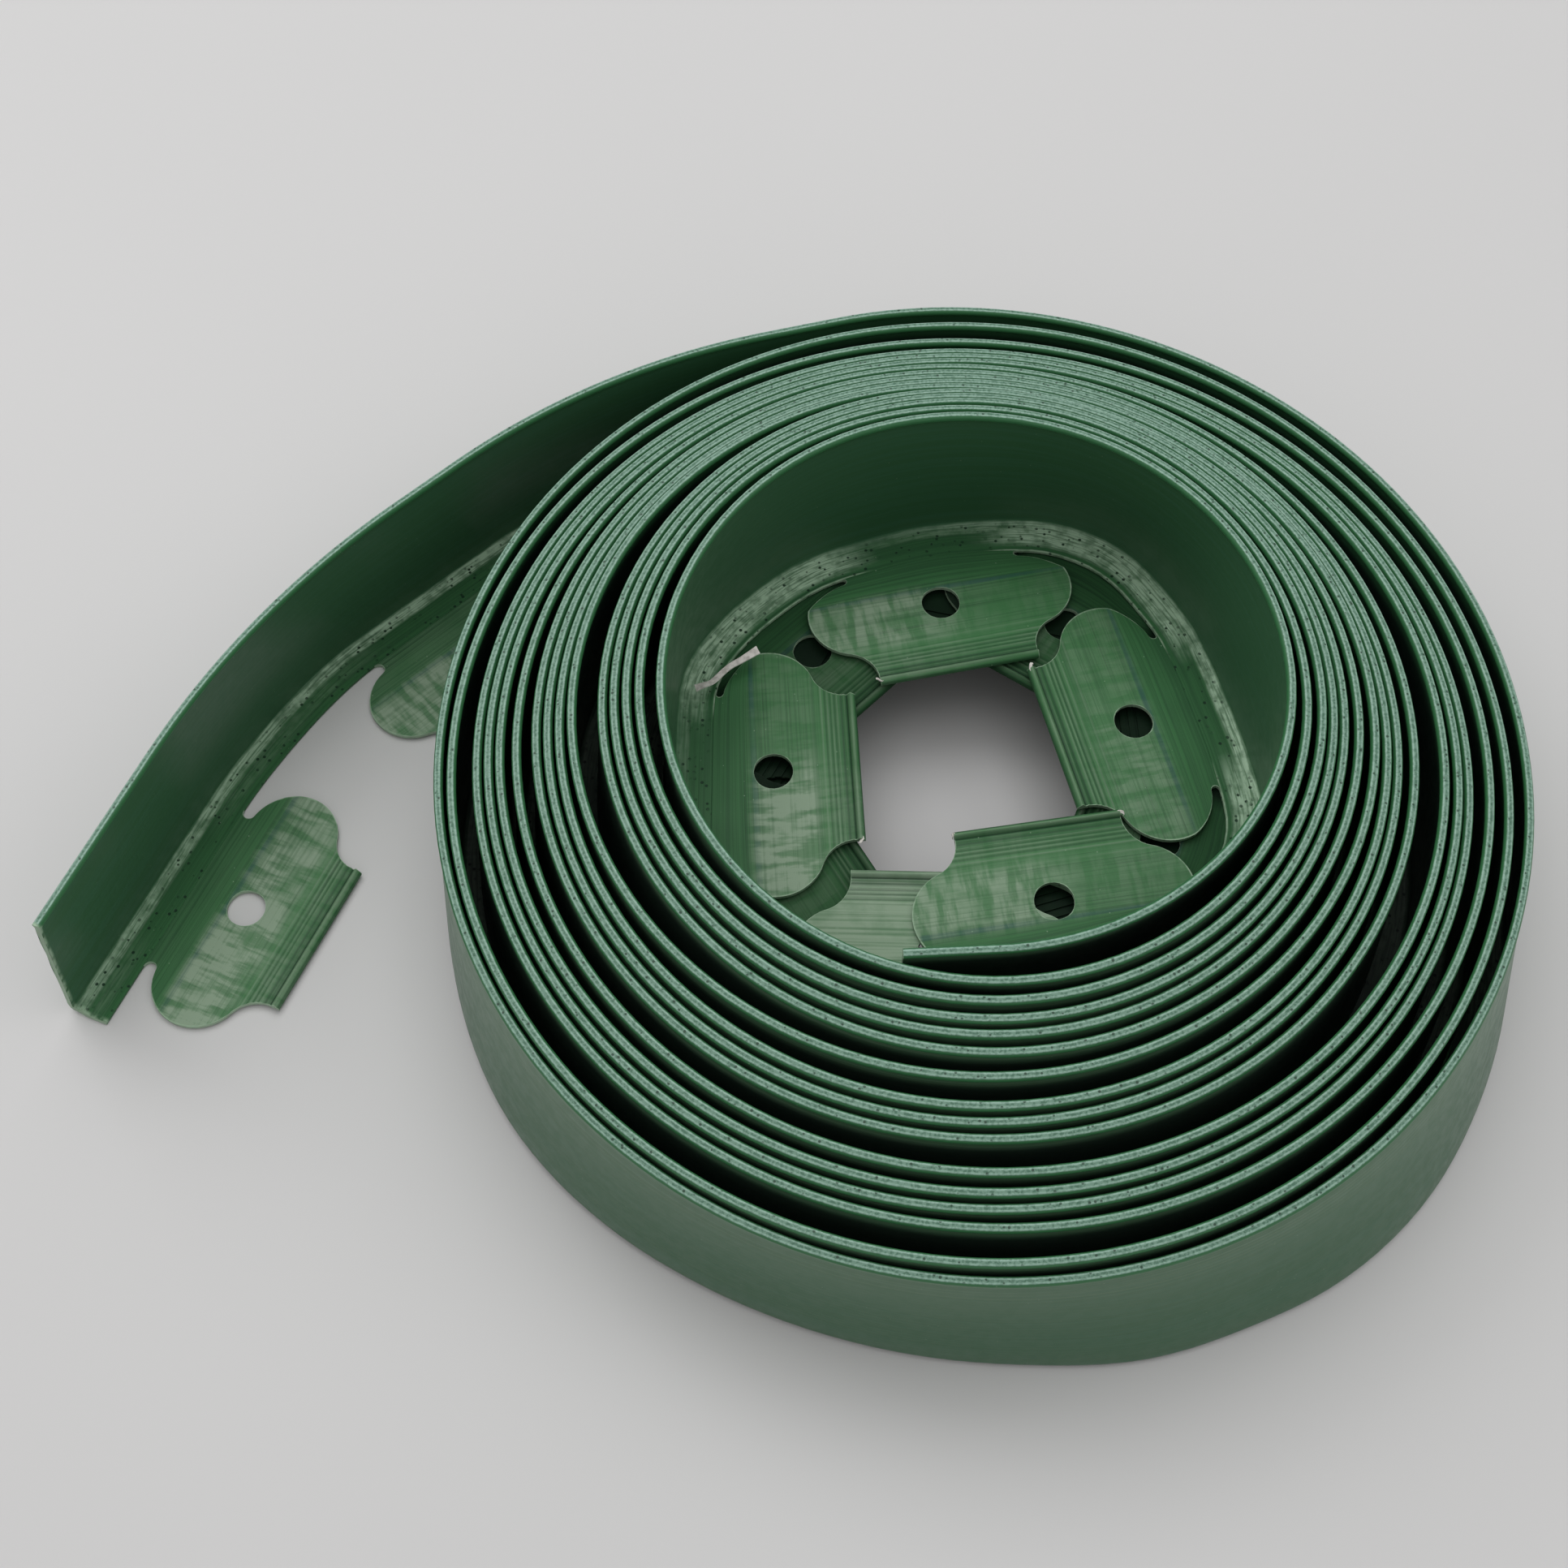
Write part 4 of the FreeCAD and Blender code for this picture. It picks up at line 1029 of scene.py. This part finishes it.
def flange_tone(mat, place, uv, across):
    """The flange's green: darker towards the wall as painted shade, with fine streaks along the strip. Also
    the streaks.
    """
    streaks = mat.streaks(uv, 10.0, 1500.0, 4.0, 0.6)
    cloud = mat.noise(place, 45.0, 2.0)
    # Darker towards the wall: painted shade, from the wall falling over the flange
    depth = mat.plus((across, -0.017, 0.004, 0.75, 0.0),
                     (streaks, 0.36, 0.58, 0.45, -0.15),
                     (cloud, 0.3, 0.7, 0.12, -0.12))
    lines = mat.range(mat.streaks(uv, 14.0, 2600.0, 2.0), 0.42, 0.30, 0.0, 0.4)
    return mat.mix(lines, mat.mix(depth, LEAF_GREEN, DEEP_GREEN), PIT_AND_SHADE_GREEN), streaks


def strip_plastic(name, gloss):
    """Deep green wall, a bead with two pale speckled lines as painted highlights, a chalky pitted band
    between tabs with painted sheen.
    """
    mat = Shader(name)
    place = mat.object_place()
    uv, along, across = mat.surface_place()
    fine = mat.noise(place, 1500.0, 2.0)
    coarse = mat.noise(place, 330.0)
    wall_streaks = mat.streaks(uv, 7.0, 900.0, 4.0)
    tone = mat.mix((wall_streaks, 0.38, 0.60, 0.0, 0.8), WALL_GREEN, DEEP_GREEN)
    flange, _ = flange_tone(mat, place, uv, across)
    tone = mat.mix((across, *WALL_END), tone, flange)

    # The band: chalk with painted sheen between the tabs, painted sheen along the corner, a pale punched
    # edge, small pits
    chalk = mat.attribute("chalk")
    stripe = mat.times(chalk, mat.between(across, *BAND_STRIPE, 0.0011))
    corner = mat.times(mat.attribute("corner"), mat.between(across, *SHEEN_CORNER, 0.0006))
    scuffs = mat.streaks(uv, 120.0, 1900.0)
    chalk_and_corner_sheen = mat.times(mat.chain("MAXIMUM", (stripe, corner)), (coarse, 0.3, 0.6, 0.45, 1.05),
                     (scuffs, 0.36, 0.58, 0.35, 1.1))
    tone = mat.mix(chalk_and_corner_sheen, tone, CHALK_AND_SHEEN_GREEN)
    edge = mat.times((across, *BAND_EDGE), (coarse, 0.3, 0.6, 0.4, 0.95),
                     (chalk, 0.1, 0.6))
    tone = mat.mix(edge, tone, EDGE_GREEN)
    pits = mat.times(mat.dots(place, 700.0, 0.34, 0.45), (across, *BAND_START))
    tone = mat.mix(mat.times(pits, (coarse, 0.36, 0.56, 0.15, 0.95)), tone, PIT_AND_SHADE_GREEN)

    # The bead: deep green flanks, and two pale speckled lines along its shoulders, painted as highlights
    # where the shoulders catch the light
    crown_at = crown_level()
    off = mat.node("Math", (mat.plus(across, -crown_at),), operation="ABSOLUTE").outputs[0]
    crown = mat.range(off, *CROWN_EDGE, 1.0, 0.0)
    tone = mat.mix((off, *FLANK_EDGE, 1.0, 0.0), tone, BEAD_FLANK)
    pale = mat.plus(mat.times(mat.between(off, *SHOULDER_LINE, 0.00012), 0.62),
                    mat.times((fine, 0.38, 0.60), 0.42))
    bead = mat.mix(pale, BEAD_TROUGH, BEAD_PALE)
    specks = mat.times(mat.dots(place, 900.0, 0.34, 0.35), (off, 0.0003, 0.0007, 0.85, 0.25))
    tone = mat.mix(crown, tone, mat.mix(specks, bead, PIT_AND_SHADE_GREEN))

    # The torn free end, dust, the outer face's painted sheen with drawn lines, and painted shade between
    # turns
    torn = mat.times((along, *TORN_END), (coarse, 0.35, 0.6))
    tone = mat.mix(torn, tone, EDGE_GREEN)
    tone = mat.mix(mat.times(mat.dots(place, 420.0, 0.075, 0.30), 0.45), tone, PALE_GREEN)
    outer = mat.chain("LESS_THAN", (across, crown_at))
    drawn = mat.times((mat.streaks(uv, 5.0, 1400.0, 2.0), 0.50, 0.60),
                      (off, 0.004, 0.013, 0.7, 0.0), 0.25)
    sheen = mat.plus((off, 0.002, 0.030, 0.16, 0.0), drawn)
    tone = mat.mix(mat.times(outer, sheen, (off, 0.0019, 0.0026)), tone, PALE_GREEN)
    # Painted shade deep in the gaps between turns, below the bead's flank
    painted_gap_shade = mat.times(mat.attribute("shade"), (off, 0.0030, 0.0065, 0.0, 0.85))
    tone = mat.mix(painted_gap_shade, tone, GAP_SHADE_GREEN)
    rough = mat.plus((coarse, 0.3, 0.7, 0.30, 0.38), mat.times(chalk_and_corner_sheen, 0.06),
                     mat.times(crown, 0.10))
    height = mat.plus(mat.times(fine, crown, 0.5), mat.times(wall_streaks, 0.45),
                      mat.times(pits, -1.2))
    return mat.finish(tone, rough, height, 0.28, gloss)


def tab_plastic(name, gloss):
    """Green flange with streaks along it, a mottled painted sheen, and pale tops to its ridges as painted
    highlights.
    """
    mat = Shader(name)
    place = mat.object_place()
    uv, _, across = mat.surface_place()
    tone, streaks = flange_tone(mat, place, uv, across)
    blue = mat.times(mat.between(across, *BLUE_LINE, 0.0003),
                     (mat.streaks(uv, 60.0, 20.0), 0.35, 0.6, 0.25, 0.8))
    tone = mat.mix(blue, tone, BLUE_STREAK)

    # Painted sheen: a whitish, mottled and rippled reflection, in patches and over whole tabs
    ripples = mat.streaks(uv, 390.0, 75.0)
    mottle = mat.streaks(uv, 90.0, 140.0, 4.0)
    painted_sheen = mat.times(
        mat.attribute("painted_sheen"), (across, -0.0072, -0.0020),
        (across, 0.0075, 0.0115, 1.0, 0.28), (mottle, 0.27, 0.60, 0.38, 1.08),
        (ripples, 0.36, 0.58, 0.3, 1.1), (streaks, 0.35, 0.58, 0.68, 1.08))
    chalk = mat.times(mat.attribute("chalk"), (mottle, 0.3, 0.6, 0.6, 1.05),
                      (streaks, 0.36, 0.55, 0.5, 1.05))
    whiteness = mat.chain("MINIMUM", (mat.chain("MAXIMUM", (painted_sheen, chalk)), 1.0))
    tone = mat.mix(whiteness, tone, PALE_GREEN)

    # Painted highlights along the ridge tops near the lip, and painted shade in the grooves between them
    pale_strength = mat.range(mat.streaks(uv, 55.0, 400.0), 0.3, 0.6, 0.35, 1.0)
    tone = mat.mix(mat.times(mat.marks(across, LIP_LINES), pale_strength), tone, PALE_GREEN)
    tone = mat.mix(mat.times(mat.marks(across, LIP_GROOVES), 0.95), tone, PIT_AND_SHADE_GREEN)
    tone = mat.mix(mat.times(mat.dots(place, 420.0, 0.08, 0.35), 0.5), tone, EDGE_GREEN)
    rim = mat.times((mat.attribute("rim"), 0.35, 0.8),
                    (mat.noise(place, 500.0, 2.0), 0.35, 0.6, 0.35, 1.0))
    tone = mat.mix(rim, tone, EDGE_GREEN)
    # Painted shade on the second turn's tabs, darkest below the first turn's holes and slots
    tone = mat.mix(mat.attribute("shade"), tone, SHADE_GREEN)
    rough = mat.plus((mottle, 0.3, 0.7, 0.30, 0.42), mat.times(whiteness, 0.10))
    height = mat.plus(mat.times(ripples, (whiteness, 0.0, 0.5, 0.4, 1.8)),
                      mat.times(streaks, 0.7))
    return mat.finish(tone, rough, height, 0.45, gloss)


def hidden_plastic():
    """The same green, darkened nearly to black as painted shade, on the tabs that lie packed under other
    tabs.
    """
    mat = Shader("hidden_tab_plastic")
    place = mat.object_place()
    fine = mat.noise(place, 900.0, 2.0)
    tone = mat.mix((mat.noise(place, 120.0, 4.0), 0.35, 0.7), LEAF_GREEN, DEEP_GREEN)
    # Painted shade: mixed almost wholly to the shade tone
    tone = mat.mix(0.93, tone, SHADE_GREEN)
    return mat.finish(tone, (fine, 0.3, 0.7, 0.32, 0.45), fine, 0.15, 0.03)


def grained_plastic(name, scale, limits, tones, rough, strength):
    """Two tones mixed by a fine grain, as torn and stress-whitened plastic has."""
    mat = Shader(name)
    grain = mat.noise(mat.object_place(), scale)
    tone = mat.mix((grain, *limits), *tones)
    return mat.finish(tone, (grain, 0.3, 0.7, *rough), grain, strength)


FLOOR_HALF = 4.0
FLOOR_DROP = 0.0002


def make_floor():
    """A wide plain floor of pale grey."""
    mat = Shader("pale_floor")
    cloud = mat.noise(mat.object_place(), 3.0, 2.0)
    tone = mat.mix(cloud, (0.60, 0.60, 0.60, 1), (0.64, 0.64, 0.64, 1))
    mat.put(mat.surface.inputs["Base Color"], tone)
    mat.put(mat.surface.inputs["Roughness"], 0.6)
    mesh = bpy.data.meshes.new("floor")
    corners = [(x * FLOOR_HALF, y * FLOOR_HALF, 0) for x, y in ((-1, -1), (1, -1), (1, 1), (-1, 1))]
    mesh.from_pydata(corners, [], [(0, 1, 2, 3)])
    mesh.materials.append(mat.material)
    floor = add_object("floor", mesh)
    floor.location = (0, 0, -FLOOR_DROP)


# Soft lamps: azimuth and elevation in degrees, seen from the coil, width in metres, share of the light
LAMPS = {
    "back_lamp": (92.0, 62.0, 0.9, 0.13),
    "left_lamp": (138.0, 44.0, 0.8, 0.12),
    "top_lamp": (90.0, 86.0, 1.3, 0.18),
    "right_lamp": (5.0, 40.0, 0.8, 0.05),
}
LAMP_DISTANCE = 1.5
FLOOR_LIGHT = 1.05
SKY_SHARE = 0.52
SKY_TONE = (1.0, 0.985, 0.98, 1)


def add_lamp(name, azimuth, elevation, width, share):
    """A square lamp that gives the floor a share of its light, whatever its slant and distance."""
    azimuth, elevation = np.radians([azimuth, elevation])
    flat = np.cos(elevation)
    towards = np.array([flat * np.cos(azimuth), flat * np.sin(azimuth), np.sin(elevation)])
    lamp = bpy.data.lights.new(name, "AREA")
    lamp.size = width
    lamp.energy = share * FLOOR_LIGHT * (np.pi * LAMP_DISTANCE) ** 2 / towards[2]
    holder = add_object(name, lamp)
    holder.location = tuple(towards * LAMP_DISTANCE)
    holder.rotation_euler = Vector(-towards).to_track_quat("-Z", "Y").to_euler()


def make_light():
    """A pale dome and soft lamps above and behind, with a plain colour transform."""
    scene = bpy.context.scene
    scene.view_settings.view_transform = "Standard"
    scene.world = bpy.data.worlds.new("studio")
    scene.world.use_nodes = True
    background = scene.world.node_tree.nodes["Background"]
    background.inputs["Color"].default_value = SKY_TONE
    background.inputs["Strength"].default_value = SKY_SHARE * FLOOR_LIGHT
    for name, lamp in LAMPS.items():
        add_lamp(name, *lamp)


def make_camera():
    """The camera, pitched down at the coil from in front of it."""
    lens = bpy.data.cameras.new("camera")
    lens.lens = CAMERA_LENS
    lens.sensor_width = CAMERA_SENSOR
    lens.sensor_fit = "HORIZONTAL"
    lens.clip_start = 0.01
    camera = add_object("camera", lens)
    camera.location = tuple(METRES * length for length in CAMERA_PLACE)
    camera.rotation_euler = (CAMERA_PITCH, 0, 0)
    bpy.context.scene.camera = camera


BODIES = ("coil", "tail_near", "tail_middle", "tail_end")
COIL_SPACING = 4.3
TAIL_SPACING = 2.5


def dress_strip(materials):
    """The coil's strip, then one stretch over each joint, from the middle of a tab to the next's."""
    seams = ROOT + TAB_PITCH * (np.arange(4) - 0.5)
    seams[-1] = ROUTE.length
    coil = strip_piece("coiled_edging", 0, seams[0], COIL_SPACING, materials)
    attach(coil, "coil")
    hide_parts("coiled_strip")
    for number in range(3):
        stretch = strip_piece("tail_edging_%d" % (number + 1), seams[number], seams[number + 1], TAIL_SPACING,
                              materials, number == 2)
        along = ROUTE.direction(ROOT + number * TAB_PITCH)
        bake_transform(stretch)
        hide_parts("tail_strip_%d" % (number + 1))


# How far the tabs of a turn rise towards their lips, then the tail's own three
TURN_LIFTS = {1: FIRST_LIFT, 2: 0.6}
TAIL_LIFTS = (0.0, 0.8, 0.8)


def dress_tabs(materials, painted_shade_materials, hidden):
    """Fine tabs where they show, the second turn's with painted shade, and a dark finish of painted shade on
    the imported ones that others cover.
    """
    for turn in range(1, TURNS + 1):
        node = "tabs_turn_%02d" % turn
        if turn in SHOWN_TURNS:
            tabs = np.nonzero(SEATS.turn == turn)[0]
            piece = tabs_piece("anchor_" + node, tabs, painted_shade_materials if turn == 2 else materials,
                               lift=TURN_LIFTS.get(turn, 0.0))
            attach(piece, "coil")
            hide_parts(node)
        else:
            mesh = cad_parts[node].data
            mesh.materials.clear()
            mesh.materials.append(hidden)
    tail = np.arange(len(SEATS.middle))[-3:]
    for number, (body, tab, lift) in enumerate(zip(BODIES[1:], tail, TAIL_LIFTS), start=1):
        piece = tabs_piece("anchor_tail_tab_%d" % number, [tab], materials, TAIL_TAB, lift)
        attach(piece, body)
        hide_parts("tail_tab_%d" % number)


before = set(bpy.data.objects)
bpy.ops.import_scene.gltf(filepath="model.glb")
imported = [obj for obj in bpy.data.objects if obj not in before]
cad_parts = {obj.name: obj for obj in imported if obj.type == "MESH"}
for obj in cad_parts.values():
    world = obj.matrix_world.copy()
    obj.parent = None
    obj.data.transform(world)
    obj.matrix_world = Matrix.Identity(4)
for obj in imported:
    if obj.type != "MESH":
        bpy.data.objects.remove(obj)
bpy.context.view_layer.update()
make_camera()
make_light()
make_floor()
cut = grained_plastic("cut_edge_plastic", 1300.0, (0.3, 0.7), (PALE_GREEN, EDGE_GREEN), (0.5, 0.7), 0.3)
dress_strip([strip_plastic("strip_plastic", 0.3), cut, strip_plastic("band_plastic", 0.1)])
# The second turn's tabs take a copy with less gloss, which keeps their painted shade dark
dress_tabs([tab_plastic("tab_plastic", 0.10), cut], [tab_plastic("painted_shade_tab_plastic", 0.02), cut],
           hidden_plastic())
scraps = [(SLIVER, SLIVER_THICKNESS)] + [burr(*row) for row in BURRS]
shavings = shavings_piece("punch_shavings", scraps, grained_plastic(
    "shaving_plastic", 700.0, (0.35, 0.65), (SHAVING_DULL, SHAVING_WHITE), (0.45, 0.6), 0.25))
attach(shavings, "coil")
